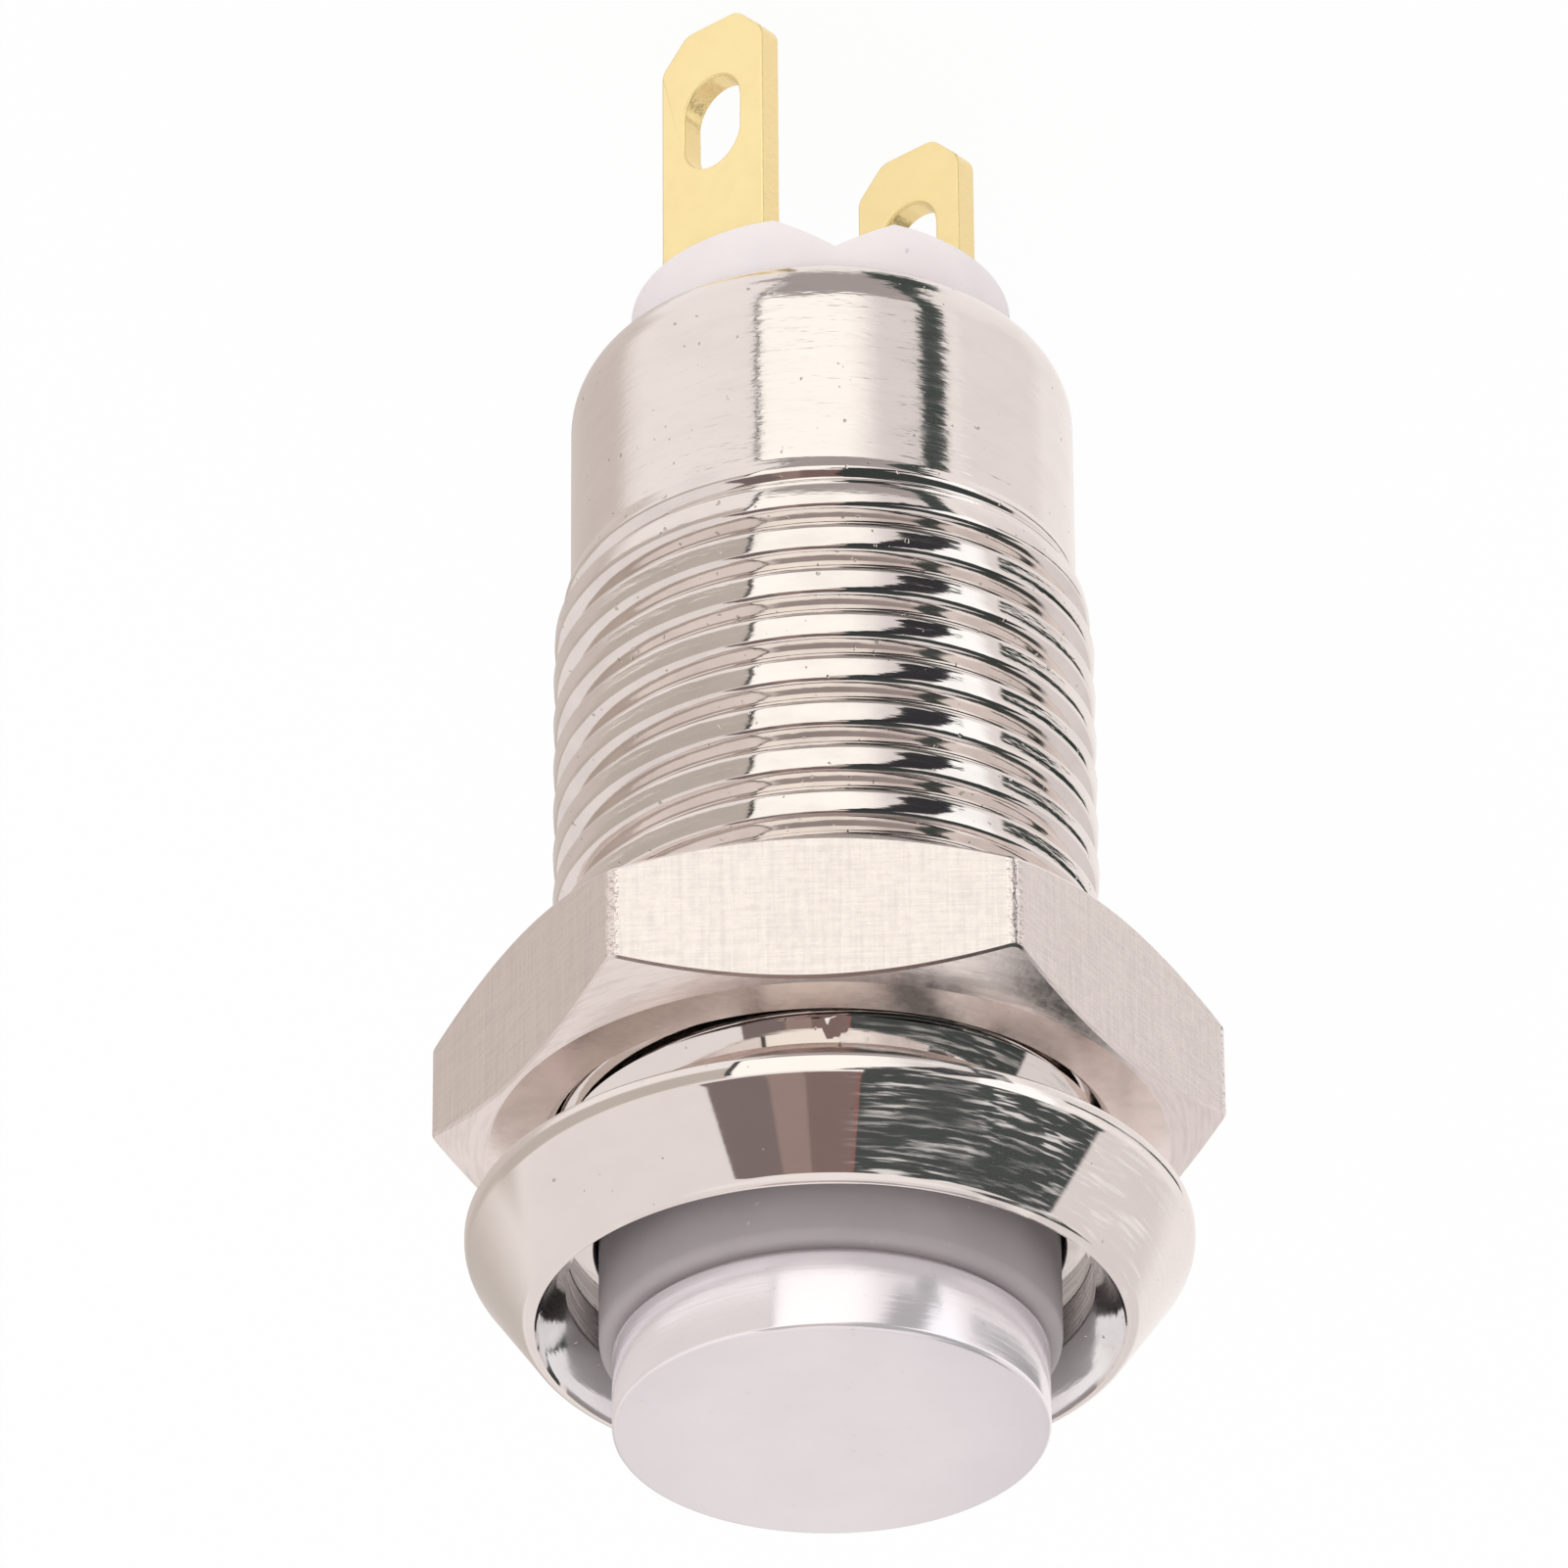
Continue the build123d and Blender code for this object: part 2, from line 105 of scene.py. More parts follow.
def angle_of(label, angle, about):
    """An angle setting, given in radians."""
    return FloatProperty(name=label, description=about, default=angle, subtype="ANGLE")


def top_of(node):
    """The highest point of a CAD node, in millimetres."""
    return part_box(node)[1].z / MM


def foot_of(node):
    """The lowest point of a CAD node, in millimetres."""
    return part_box(node)[0].z / MM


def reach_of(node):
    """How far a CAD node reaches along +X, in millimetres."""
    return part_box(node)[1].x / MM


class HousingSizes(bpy.types.PropertyGroup):
    head_r: size_of("Head radius", reach_of("housing"), "Radius of the head at its lip")
    head_h: size_of("Head height", top_of("housing"), "Height of the head's rim above the seat face")
    lip_h: size_of("Lip height", 0.30, "Straight part of the head's lip")
    rim_r: size_of("Rim radius", 4.30, "Middle of the head's rim")
    rim_half: size_of("Rim half width", 0.07, "Half the rim's width")
    sink_r: size_of("Countersink radius", 4.20, "Countersink at the rim")
    counter_r: size_of("Counterbore radius", 3.78, "Counterbore round the button")
    counter_top: size_of("Counterbore top", 0.93, "Height where the countersink ends")
    counter_floor: size_of("Counterbore floor", 0.30, "Height of the counterbore's floor")
    neck_r: size_of("Neck radius", 3.65, "Relief behind the head")
    neck_end: size_of("Neck end", -1.35, "Where the thread begins")
    lead_start: size_of("Lead-in start", -1.04, "Where the chamfer in front of the thread begins")
    lead_slope: angle_of("Lead-in slope", radians(35.3), "Slope of that chamfer")
    barrel_r: size_of("Barrel radius", 3.75, "Plain barrel behind the thread")
    roll_start: size_of("Roll start", -13.65, "Where the barrel starts to roll in")
    roll_r: size_of("Roll radius", 1.10, "Radius of the rolled rear rim")
    hole_r: size_of("Rear hole radius", 2.95, "Hole in the rolled rim")
    front_bore_r: size_of("Front bore radius", 3.38, "Bore round the plunger")
    rear_bore_r: size_of("Rear bore radius", 3.46, "Bore behind the step")
    bore_step: size_of("Bore step", -3.60, "Where the bore widens")
    join: size_of("Join", 0.03, "Strip that joins the turned skin to the thread")
    rim_in_round: size_of("Inner rim rounding", 0.035, "Rounding between rim and countersink")
    rim_out_round: size_of("Outer rim rounding", 0.095, "Rounding between rim and bevel")
    rim_fall: size_of("Rim fall", 0.06, "Drop from the rim to the countersink's edge")
    lip_round: size_of("Lip rounding", 0.11, "Rounding between the head's bevel and its lip")
    seat_bevel: size_of("Seat bevel", 0.06, "Bevel round the seat face")
    seat_round: size_of("Seat rounding", 0.04, "Rounding between the lip and that bevel")
    neck_round: size_of("Neck rounding", 0.05, "Rounding where the neck meets the seat face")
    floor_round: size_of("Floor rounding", 0.02, "Rounding at the counterbore's floor")
    edge: size_of("Edge", 0.03, "Rounding of the small edges")
    roll_round: size_of("Roll end rounding", 0.05, "Rounding of the rolled rim at its hole")
    roll_wall: size_of("Roll wall", 0.36, "Thickness of the rolled rim at its hole")
    roll_bevel: size_of("Roll bevel", 0.30, "Bevel inside the rolled rim")
    marked_side: angle_of("Marked side", radians(229.3), "Side of the head that has tool marks")


class ThreadSizes(bpy.types.PropertyGroup):
    pitch: size_of("Pitch", 0.75, "Advance of the thread in one turn")
    crest_r: size_of("Crest radius", 4.00, "Thread at its crest")
    root_r: size_of("Root radius", 3.71, "Thread at its root")
    end: size_of("Thread end", -10.85, "Where the thread has run out on the barrel")
    run_out: size_of("Run-out", 1.15, "Length over which the thread fades into the barrel")
    shift: size_of("Shift", 0.25, "How far the turns are moved along the barrel")
    steps: IntProperty(name="Steps", description="Steps of the screw in one turn", default=160, min=32)


class NutSizes(bpy.types.PropertyGroup):
    flats: size_of("Across flats", 10.0, "Width across the nut's flats")
    front: size_of("Front face", top_of("mounting_nut"), "Height of the nut's front face")
    rear: size_of("Rear face", foot_of("mounting_nut"), "Height of the nut's rear face")
    face_r: size_of("Face radius", 4.92, "Where the bevel of the face begins")
    hole_r: size_of("Hole radius", 4.05, "Hole over the thread's crest")
    hole_bevel: size_of("Hole bevel", 0.14, "Bevel at both ends of the hole")
    corner_r: size_of("Corner radius", 0.22, "Rounding of the six upright corners")
    edge: size_of("Edge", 0.03, "Soft edge between a bevel and a flat")
    turn: angle_of("Turn", radians(21.7), "Direction of the middle of one flat")
    bevel: angle_of("Face bevel", radians(30), "Slope of the nut's bevelled faces")


class ButtonSizes(bpy.types.PropertyGroup):
    cap_r: size_of("Cap radius", reach_of("button_cap"), "Outside of the cap")
    face: size_of("Cap face", top_of("button_cap"), "Height of the cap's face")
    face_edge: size_of("Face edge", 0.10, "Rounding of the cap's front edge")
    cap_edge: size_of("Cap edge", 0.03, "Rounding of the cap's rear edge")
    play: size_of("Play", 0.02, "Play between the cap and the boss")
    rear_edge: size_of("Rear edge", 0.12, "Bevel at the back of the cap")
    collar_r: size_of("Collar radius", reach_of("plunger"), "Moulded collar under the cap")
    collar_front: size_of("Collar front", 1.93, "Height of the collar's front face")
    collar_rear: size_of("Collar rear", -1.20, "Height of the collar's rear face")
    collar_edge: size_of("Collar edge", 0.18, "Rounding of the collar's front edge")
    edge: size_of("Edge", 0.05, "Rounding of the plunger's other edges")
    boss_r: size_of("Boss radius", 2.40, "Boss that the cap is pressed over")
    boss_h: size_of("Boss height", 0.84, "Height of that boss")
    pocket_r: size_of("Pocket radius", 2.70, "Pocket for the return spring")
    pocket_top: size_of("Pocket top", 0.90, "Height of the pocket's end")
    stem_r: size_of("Stem radius", 1.10, "Stem that carries the slider")
    stem_flats: size_of("Stem flats", 1.80, "Width across the stem's flats")


class BaseSizes(bpy.types.PropertyGroup):
    face: size_of("Rear face", foot_of("base"), "Height of the base's rear face")
    top: size_of("Top", -12.0, "Height of the base's inner face")
    plug_r: size_of("Plug radius", 2.85, "Part that stands out of the rim")
    shoulder_r: size_of("Shoulder radius", reach_of("base"), "Part inside the barrel")
    shoulder: size_of("Shoulder height", -14.328, "Height of the shoulder behind the rim")
    shoulder_bevel: size_of("Shoulder bevel", 0.30, "Bevel of the shoulder")
    edge: size_of("Edge", 0.06, "Rounding of the base's edges")
    tag_play: size_of("Tag play", 0.02, "Play round a tag in the base")
    groove_depth: size_of("Groove depth", 0.52, "Depth of the V groove")
    groove_half: size_of("Groove half width", 0.90, "Half width of the V groove at the face")
    groove_turn: angle_of("Groove turn", radians(-45), "Direction of the V groove")
    well_r: size_of("Well radius", 0.94, "Well in the inner face")
    well_depth: size_of("Well depth", 0.50, "Depth of that well")


class TagSizes(bpy.types.PropertyGroup):
    middle: size_of("Tag middle", reach_of("terminal_right") - 0.20, "Distance of a tag from the axis")
    thick: size_of("Thickness", 0.40, "Sheet thickness of a tag")
    width: size_of("Width", 2.00, "Width of a tag")
    tip: size_of("Tip", foot_of("terminal_right"), "Height of a tag's tip")
    foot: size_of("Foot", top_of("terminal_right"), "Height of the foot's upper face")
    foot_inner: size_of("Foot end", 0.98, "Where the foot ends, from the axis")
    corner: size_of("Corner", 0.50, "Cut corner at the tip")
    tip_round: size_of("Tip rounding", 0.11, "Rounding where the cut corners begin and end")
    bend: size_of("Bend", 0.357, "How far the rounding of the bend reaches")
    slot_w: size_of("Slot width", 1.10, "Width of the slot")
    slot_h: size_of("Slot height", 1.60, "Length of the slot")
    slot_at: size_of("Slot height from seat", -18.10, "Height of the slot's middle")
    edge: size_of("Edge", 0.035, "Rounding of the sheared edges")


class SpringSizes(bpy.types.PropertyGroup):
    return_wire: size_of("Return wire", 0.17, "Wire radius of the return spring")
    return_coil: size_of("Return coil", 1.95, "Coil radius of the return spring")
    return_pitch: size_of("Return pitch", 1.10, "Pitch of the return spring")
    contact_wire: size_of("Contact wire", 0.09, "Wire radius of the contact spring")
    contact_coil: size_of("Contact coil", 0.71, "Coil radius of the contact spring")
    contact_pitch: size_of("Contact pitch", 0.62, "Pitch of the contact spring")


class Finishes(bpy.types.PropertyGroup):
    nickel: colour_of("Nickel", (0.86, 0.80, 0.77), "Bright nickel of the housing")
    nut_nickel: colour_of("Nut nickel", (0.88, 0.80, 0.77), "Satin nickel of the nut")
    aluminium: colour_of("Aluminium", (0.775, 0.73, 0.755), "Turned aluminium of the cap")
    collar: colour_of("Collar grey", (0.37, 0.33, 0.34), "Moulded collar of the plunger")
    base: colour_of("Base white", (0.86, 0.79, 0.80), "Milky moulding of the base")
    gold: colour_of("Tag gold", (1.00, 0.83, 0.43), "Thin gold plate of the tags")
    steel: colour_of("Spring steel", (0.62, 0.62, 0.64), "Wire and leaf springs")
    liner: colour_of("Liner", (0.05, 0.05, 0.055), "Dark moulding of the guide sleeve")
    slider: colour_of("Slider", (0.80, 0.78, 0.72), "Natural moulding of the slider")
    brass: colour_of("Brass", (0.78, 0.60, 0.30), "Bridge plate")
    silver: colour_of("Contact silver", (0.86, 0.86, 0.84), "Contact rivets")
    # Painted shade: the nickel in the bore and counterbore is coloured darker than the housing's other
    # nickel.
    bore: colour_of("Bore nickel", (0.55, 0.53, 0.525), "Dull nickel in the bore")
    # Painted highlight: the countersink's nickel is coloured lighter than the housing's other nickel.
    sink: colour_of("Countersink nickel", (0.94, 0.93, 0.94), "Bright nickel of the countersink")


class StudioSettings(bpy.types.PropertyGroup):
    azimuth: angle_of("View azimuth", radians(49.3), "Where the camera stands round the switch")
    elevation: angle_of("View elevation", 0.549, "How far the camera stands above the seat plane")
    roll: angle_of("View roll", -0.008, "Lean of the picture")
    distance: size_of("View distance", 168.826, "Depth of the seat's centre in front of the camera")
    across: size_of("View offset across", 0.659, "Seat centre's offset to the picture's right")
    down: size_of("View offset down", 6.448, "Seat centre's offset towards the picture's bottom")
    lens: FloatProperty(
        name="Lens", description="Focal length in millimetres", default=269.83, unit="CAMERA"
    )
    room: FloatProperty(name="Room light", description="Strength of the white room", default=0.90)
    key: FloatProperty(
        name="Key light", description="Power of the key lamp in watts", default=0.60, unit="POWER"
    )
    key_size: size_of("Key lamp size", 300, "Width of the key lamp")
    key_front: size_of("Key lamp front", 420, "How far it stands in front of the switch")
    key_side: size_of("Key lamp side", -60, "How far it stands to the picture's right")
    key_height: size_of("Key lamp height", 220, "How far it stands above the seat face")
    floor_white: FloatProperty(
        name="Floor white", description="How far the floor shows as plain white",
        default=0.94, subtype="FACTOR",
    )
    floor_gap: size_of("Floor gap", 0.05, "Space between the tags' tips and the floor")


# Mesh tools


def everything(bm):
    """All of a mesh, as the mesh operators take it."""
    return bm.verts[:] + bm.edges[:] + bm.faces[:]


def of_kind(items, kind):
    """Those of some mesh items that are points or edges, as asked."""
    return [item for item in items if isinstance(item, kind)]


def mesh_of(name, bm):
    """A mesh from a finished bmesh, which is freed."""
    mesh = bpy.data.meshes.new(name)
    bm.to_mesh(mesh)
    bm.free()
    return mesh


def object_of(name, data):
    """A new object in the scene."""
    made = bpy.data.objects.new(name, data)
    bpy.context.scene.collection.objects.link(made)
    return made


def take_in(bm, other):
    """Adds another bmesh to this one, and frees it."""
    spare = mesh_of("spare", other)
    bm.from_mesh(spare)
    bpy.data.meshes.remove(spare)


def wire_outline(bm, corners, closed):
    """An outline of (radius, height, rounding) points in the XZ plane, its corners rounded."""
    verts = [bm.verts.new((radius, 0.0, height)) for radius, height, rounding in corners]
    for first, second in zip(verts, verts[1:]):
        bm.edges.new((first, second))
    if closed:
        bm.edges.new((verts[-1], verts[0]))
    for vert, (radius, height, rounding) in zip(verts, corners):
        if rounding:
            bmesh.ops.bevel(
                bm, geom=[vert], offset=rounding, offset_type="OFFSET", segments=4,
                profile=0.5, affect="VERTICES", material=-1,
            )


def turned(corners, steps, closed=False):
    """A turned piece, spun round the Z axis from the outline of half its section."""
    bm = bmesh.new()
    wire_outline(bm, corners, closed)
    bmesh.ops.spin(
        bm, geom=everything(bm), cent=(0, 0, 0), axis=(0, 0, 1),
        angle=2 * pi, steps=steps, use_merge=True,
    )
    bmesh.ops.remove_doubles(bm, verts=bm.verts, dist=TINY)
    bmesh.ops.recalc_face_normals(bm, faces=bm.faces)
    return bm


def turn_round(bm, verts, angle, axis):
    """Turns points round an axis through the origin."""
    bmesh.ops.rotate(bm, cent=(0, 0, 0), matrix=Matrix.Rotation(angle, 3, axis), verts=verts)


def move_out(vert, radius):
    """Moves a point to another radius, on its own side of the axis."""
    scale = radius / vert.co.xy.length
    vert.co.x *= scale
    vert.co.y *= scale


def pull(bm, way):
    """Pulls a flat mesh out into a solid."""
    pulled = bmesh.ops.extrude_face_region(bm, geom=bm.faces[:])
    bmesh.ops.translate(bm, vec=way, verts=of_kind(pulled["geom"], bmesh.types.BMVert))


def cut_off(bm, point, outward, fill=True):
    """Cuts off what lies outside a plane, and closes the cut."""
    cut = bmesh.ops.bisect_plane(
        bm, geom=everything(bm), dist=1e-9, plane_co=point, plane_no=outward, clear_outer=True
    )
    if fill:
        bmesh.ops.holes_fill(bm, edges=of_kind(cut["geom_cut"], bmesh.types.BMEdge))


def shade(bm, sharp_angle=radians(34)):
    """Smooth faces, with edges kept sharp where they turn by more than the angle."""
    for face in bm.faces:
        face.smooth = True
    for edge in bm.edges:
        edge.smooth = len(edge.link_faces) == 2 and edge.calc_face_angle(0.0) < sharp_angle


def new_piece(name, bm, body, finishes, node):
    """A finished mesh as a piece that rides on a CAD body and stands for one of its nodes."""
    mesh = mesh_of(name, bm)
    for finish in finishes:
        mesh.materials.append(finish)
    piece = object_of(name, mesh)
    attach(piece, body)
    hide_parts(node)
    return piece


def cut_with(piece, cutters):
    """Takes the cutters' shapes out of a piece, and shades what is left."""
    for bm in cutters:
        cutter = object_of("cutter", mesh_of("cutter", bm))
        cut = piece.modifiers.new("cut", "BOOLEAN")
        cut.operation = "DIFFERENCE"
        cut.solver = "EXACT"
        cut.object = cutter
        view = bpy.context.evaluated_depsgraph_get()
        made = bpy.data.meshes.new_from_object(piece.evaluated_get(view))
        piece.modifiers.remove(cut)
        piece.data = made
        bpy.data.objects.remove(cutter)
    bm = bmesh.new()
    bm.from_mesh(piece.data)
    bmesh.ops.remove_doubles(bm, verts=bm.verts, dist=TINY)
    shade(bm)
    bm.to_mesh(piece.data)
    bm.free()


def round_edges(piece, width):
    """A small rounded bevel on every sharp edge, kept as a modifier."""
    bevel = piece.modifiers.new("edges", "BEVEL")
    bevel.width = width
    bevel.segments = 3
    bevel.limit_method = "ANGLE"
    bevel.angle_limit = radians(30)


def even_normals(piece):
    """Keeps wide faces looking flat beside their narrow rounded edges."""
    weighted = piece.modifiers.new("normals", "WEIGHTED_NORMAL")
    weighted.keep_sharp = True


def block(low, high):
    """A box between two corners."""
    bm = bmesh.new()
    bmesh.ops.create_cube(bm, size=1.0)
    low, high = Vector(low), Vector(high)
    bmesh.ops.scale(bm, vec=high - low, verts=bm.verts)
    bmesh.ops.translate(bm, vec=0.5 * (low + high), verts=bm.verts)
    return bm


# Shader tools


def join(tree, socket, value):
    """Links a socket to another one, or gives it a plain value."""
    if isinstance(value, bpy.types.NodeSocket):
        tree.links.new(value, socket)
    else:
        socket.default_value = value


def give(tree, node, **inputs):
    """Sets or links the named inputs of a node."""
    for name, value in inputs.items():
        join(tree, node.inputs[name.replace("_", " ")], value)


def put(tree, kind, settings=None, **inputs):
    """Adds a node, sets its options, and sets or links its named inputs."""
    made = tree.nodes.new(kind)
    for name, value in (settings or {}).items():
        setattr(made, name, value)
    give(tree, made, **inputs)
    return made


def maths(tree, operation, first, second=0.0, third=0.0):
    """A Math node's result."""
    made = tree.nodes.new("ShaderNodeMath")
    made.operation = operation
    for socket, value in zip(made.inputs, (first, second, third)):
        join(tree, socket, value)
    return made.outputs[0]


def mix(tree, factor, first, second):
    """Blends two colours, given as sockets or as red, green and blue."""
    made = tree.nodes.new("ShaderNodeMix")
    made.data_type = "RGBA"
    join(tree, made.inputs[0], factor)
    for socket, value in ((made.inputs[6], first), (made.inputs[7], second)):
        join(tree, socket, value if isinstance(value, bpy.types.NodeSocket) else (*value, 1.0))
    return made.outputs[2]


def blend(tree, factor, first, second):
    """Blends two shaders."""
    made = put(tree, "ShaderNodeMixShader", Fac=factor)
    tree.links.new(first, made.inputs[1])
    tree.links.new(second, made.inputs[2])
    return made.outputs[0]


def times(colour, factor):
    """A colour made darker or lighter."""
    return [factor * part for part in colour]


def ramp(tree, value, low, high, start=0.0, end=1.0):
    """A value carried smoothly from low-high to start-end, and held at both ends."""
    made = put(tree, "ShaderNodeMapRange", {"interpolation_type": "SMOOTHSTEP"})
    for socket, given in zip(made.inputs, (value, low, high, start, end)):
        join(tree, socket, given)
    return made.outputs[0]


def along_axis(tree, place, axis):
    """How far a place or a direction reaches along an axis."""
    made = put(tree, "ShaderNodeVectorMath", {"operation": "DOT_PRODUCT"})
    join(tree, made.inputs[0], place)
    join(tree, made.inputs[1], axis)
    return made.outputs["Value"]


def stretched(tree, along):
    """Object coordinates in millimetres, multiplied by a factor for each axis."""
    place = put(tree, "ShaderNodeTexCoord").outputs["Object"]
    return put(tree, "ShaderNodeMapping", Vector=place, Scale=[k / MM for k in along]).outputs[0]


def grain(tree, along, detail=2.0, roughness=0.5):
    """Noise whose scale along each axis is given in cycles a millimetre."""
    made = put(
        tree, "ShaderNodeTexNoise", Vector=stretched(tree, along),
        Scale=1.0, Detail=detail, Roughness=roughness,
    )
    return made.outputs[0]


def relief(tree, shader, *layers):
    """Bumps a surface by the sum of some heights, each given with its depth in millimetres."""
    height = 0.0
    for layer, depth in layers:
        height = maths(tree, "MULTIPLY_ADD", layer, depth, height)
    bump = put(tree, "ShaderNodeBump", Height=height, Distance=MM)
    give(tree, shader, Normal=bump.outputs[0])


def finish_of(name, colour, metallic, roughness):
    """A material with one Principled shader and its plain values."""
    material = bpy.data.materials.new(name)
    material.use_nodes = True
    tree = material.node_tree
    shader = tree.nodes["Principled BSDF"]
    give(tree, shader, Base_Color=(*colour, 1.0), Metallic=metallic, Roughness=roughness)
    return material, tree, shader


# Pieces


def zone_of(face, sizes, thread):
    """Which finish a face of the housing has."""
    slack = 0.01 * MM
    middle = face.calc_center_median()
    radius = middle.xy.length
    facing = middle.xy.dot(face.normal.xy)
    inside = facing < 0 and radius < sizes.rear_bore_r + slack
    if inside or (facing < 0 and middle.z < sizes.counter_top):
        return "bore"
    if facing < -0.3 * radius and middle.z < sizes.head_h - 2 * slack:
        return "sink"
    if middle.z > sizes.neck_end:
        return "head"
    return "thread" if middle.z > thread.end else "barrel"


def thread_section(thread):
    """Points across one pitch: a rounded crest, two flanks and a narrow root."""
    across = (
        (0.00, 0.80), (0.04, 0.93), (0.08, 0.99), (0.12, 1.00), (0.16, 0.985), (0.30, 0.975),
        (0.44, 0.935), (0.50, 0.90), (0.54, 0.84), (0.58, 0.72), (0.66, 0.34), (0.69, 0.16),
        (0.715, 0.05), (0.745, 0.0), (0.775, 0.03), (0.80, 0.08), (0.825, 0.03), (0.855, 0.0),
        (0.88, 0.07), (0.905, 0.22), (0.95, 0.52), (1.00, 0.80),
    )
    depth = thread.crest_r - thread.root_r
    return [(thread.root_r + depth * rise, thread.pitch * part) for part, rise in across]


def screw_thread(bm, thread, low, high):
    """A helical skin between two heights, cut flat at both ends."""
    section = [bm.verts.new((radius, 0, height)) for radius, height in thread_section(thread)]
    edges = [bm.edges.new(pair) for pair in zip(section, section[1:])]
    # The turns begin well below the lower cut, and end well above the upper one
    bmesh.ops.translate(bm, vec=(0, 0, low - 1.5 * thread.pitch + thread.shift), verts=section)
    bmesh.ops.spin(
        bm, geom=section + edges, cent=(0, 0, 0), axis=(0, 0, 1), angle=2 * pi,
        steps=thread.steps, dvec=(0, 0, thread.pitch / thread.steps), use_merge=False,
    )
    turn = everything(bm)
    spare_turns = 3
    for count in range(1, int((high - low) / thread.pitch) + spare_turns):
        copied = bmesh.ops.duplicate(bm, geom=turn)["geom"]
        verts = of_kind(copied, bmesh.types.BMVert)
        bmesh.ops.translate(bm, vec=(0, 0, count * thread.pitch), verts=verts)
    bmesh.ops.remove_doubles(bm, verts=bm.verts, dist=TINY)
    for height, side in ((low, -1), (high, 1)):
        cut_off(bm, (0, 0, height), (0, 0, side), fill=False)


def lead_radius(height, housing):
    """Radius of the chamfer in front of the thread at one height."""
    return housing.neck_r + (housing.lead_start - height) * tan(housing.lead_slope)


def fade_thread(bm, thread, housing):
    """Cuts the thread to its chamfer behind the neck, and lets it run out on the barrel."""
    for vert in bm.verts:
        behind = min(1.0, (vert.co.z - thread.end) / thread.run_out)
        proud = (vert.co.xy.length - housing.barrel_r) * behind * (2 - behind)
        move_out(vert, min(housing.barrel_r + proud, lead_radius(vert.co.z, housing)))


def ring_edges(bm, height, within):
    """The open edges that lie close to one height."""
    return [
        edge for edge in bm.edges
        if len(edge.link_faces) == 1 and all(abs(vert.co.z - height) < within for vert in edge.verts)
    ]


def make_housing(sizes, thread):
    """The turned skin of the housing, open at the thread's two ends, and the thread between."""
    middle_r = sizes.barrel_r - sizes.roll_r
    end_angle = acos((sizes.hole_r - middle_r) / sizes.roll_r)
    corners = [(sizes.barrel_r, thread.end - sizes.join, 0)]
    parts = 16
    for part in range(parts + 1):
        angle = end_angle * part / parts
        place = (middle_r + sizes.roll_r * cos(angle), sizes.roll_start - sizes.roll_r * sin(angle))
        corners.append((*place, sizes.roll_round if part == parts else 0))
    roll_inside = corners[-1][1] + sizes.roll_wall
    corners += [
        (sizes.hole_r, roll_inside, 0),
        (sizes.rear_bore_r - sizes.roll_bevel, roll_inside, 0),
        (sizes.rear_bore_r, roll_inside + sizes.roll_bevel, 0),
        (sizes.rear_bore_r, sizes.bore_step, 0),
        (sizes.front_bore_r, sizes.bore_step, 0),
        (sizes.front_bore_r, sizes.counter_floor, sizes.edge),
        (sizes.counter_r, sizes.counter_floor, sizes.floor_round),
        (sizes.counter_r, sizes.counter_top, sizes.edge),
        (sizes.sink_r, sizes.head_h - sizes.rim_fall, sizes.rim_in_round),
        (sizes.rim_r - sizes.rim_half, sizes.head_h, sizes.rim_in_round),
        (sizes.rim_r + sizes.rim_half, sizes.head_h, sizes.rim_out_round),
        (sizes.head_r, sizes.lip_h, sizes.lip_round),
        (sizes.head_r, sizes.seat_bevel, sizes.seat_round),
        (sizes.head_r - sizes.seat_bevel, 0, sizes.edge),
        (sizes.neck_r, 0, sizes.neck_round),
        (sizes.neck_r, sizes.lead_start, 0),
        (lead_radius(sizes.neck_end + sizes.join, sizes), sizes.neck_end + sizes.join, 0),
    ]
    bm = turned(corners, steps=224)
    skin = bmesh.new()
    screw_thread(skin, thread, thread.end, sizes.neck_end)
    fade_thread(skin, thread, sizes)
    take_in(bm, skin)
    for height in (thread.end - 0.5 * sizes.join, sizes.neck_end + 0.5 * sizes.join):
        bmesh.ops.bridge_loops(bm, edges=ring_edges(bm, height, sizes.join))
    bmesh.ops.recalc_face_normals(bm, faces=bm.faces)
    for face in bm.faces:
        face.material_index = ZONES.index(zone_of(face, sizes, thread))
    shade(bm)
    return bm


def off_flat(angle, sizes):
    """How far a direction is turned from the middle of the nearest flat."""
    apart = radians(60)
    return (angle - sizes.turn + 0.5 * apart) % apart - 0.5 * apart


def on_flat(angle, sizes):
    """Whether a direction meets the plain part of a flat, and not a rounded corner."""
    half = 0.5 * sizes.flats
    return abs(off_flat(angle, sizes)) < atan2((half - sizes.corner_r) * tan(radians(30)), half)


def hex_reach(angle, sizes):
    """How far the hexagon reaches from the axis in one direction, its corners rounded."""
    half = 0.5 * sizes.flats
    off = off_flat(angle, sizes)
    if on_flat(angle, sizes):
        return half / cos(off)
    round_centre = (half - sizes.corner_r) / cos(radians(30))
    off_corner = radians(30) - abs(off)
    side = round_centre * sin(off_corner)
    return round_centre * cos(off_corner) + sqrt(sizes.corner_r**2 - side**2)


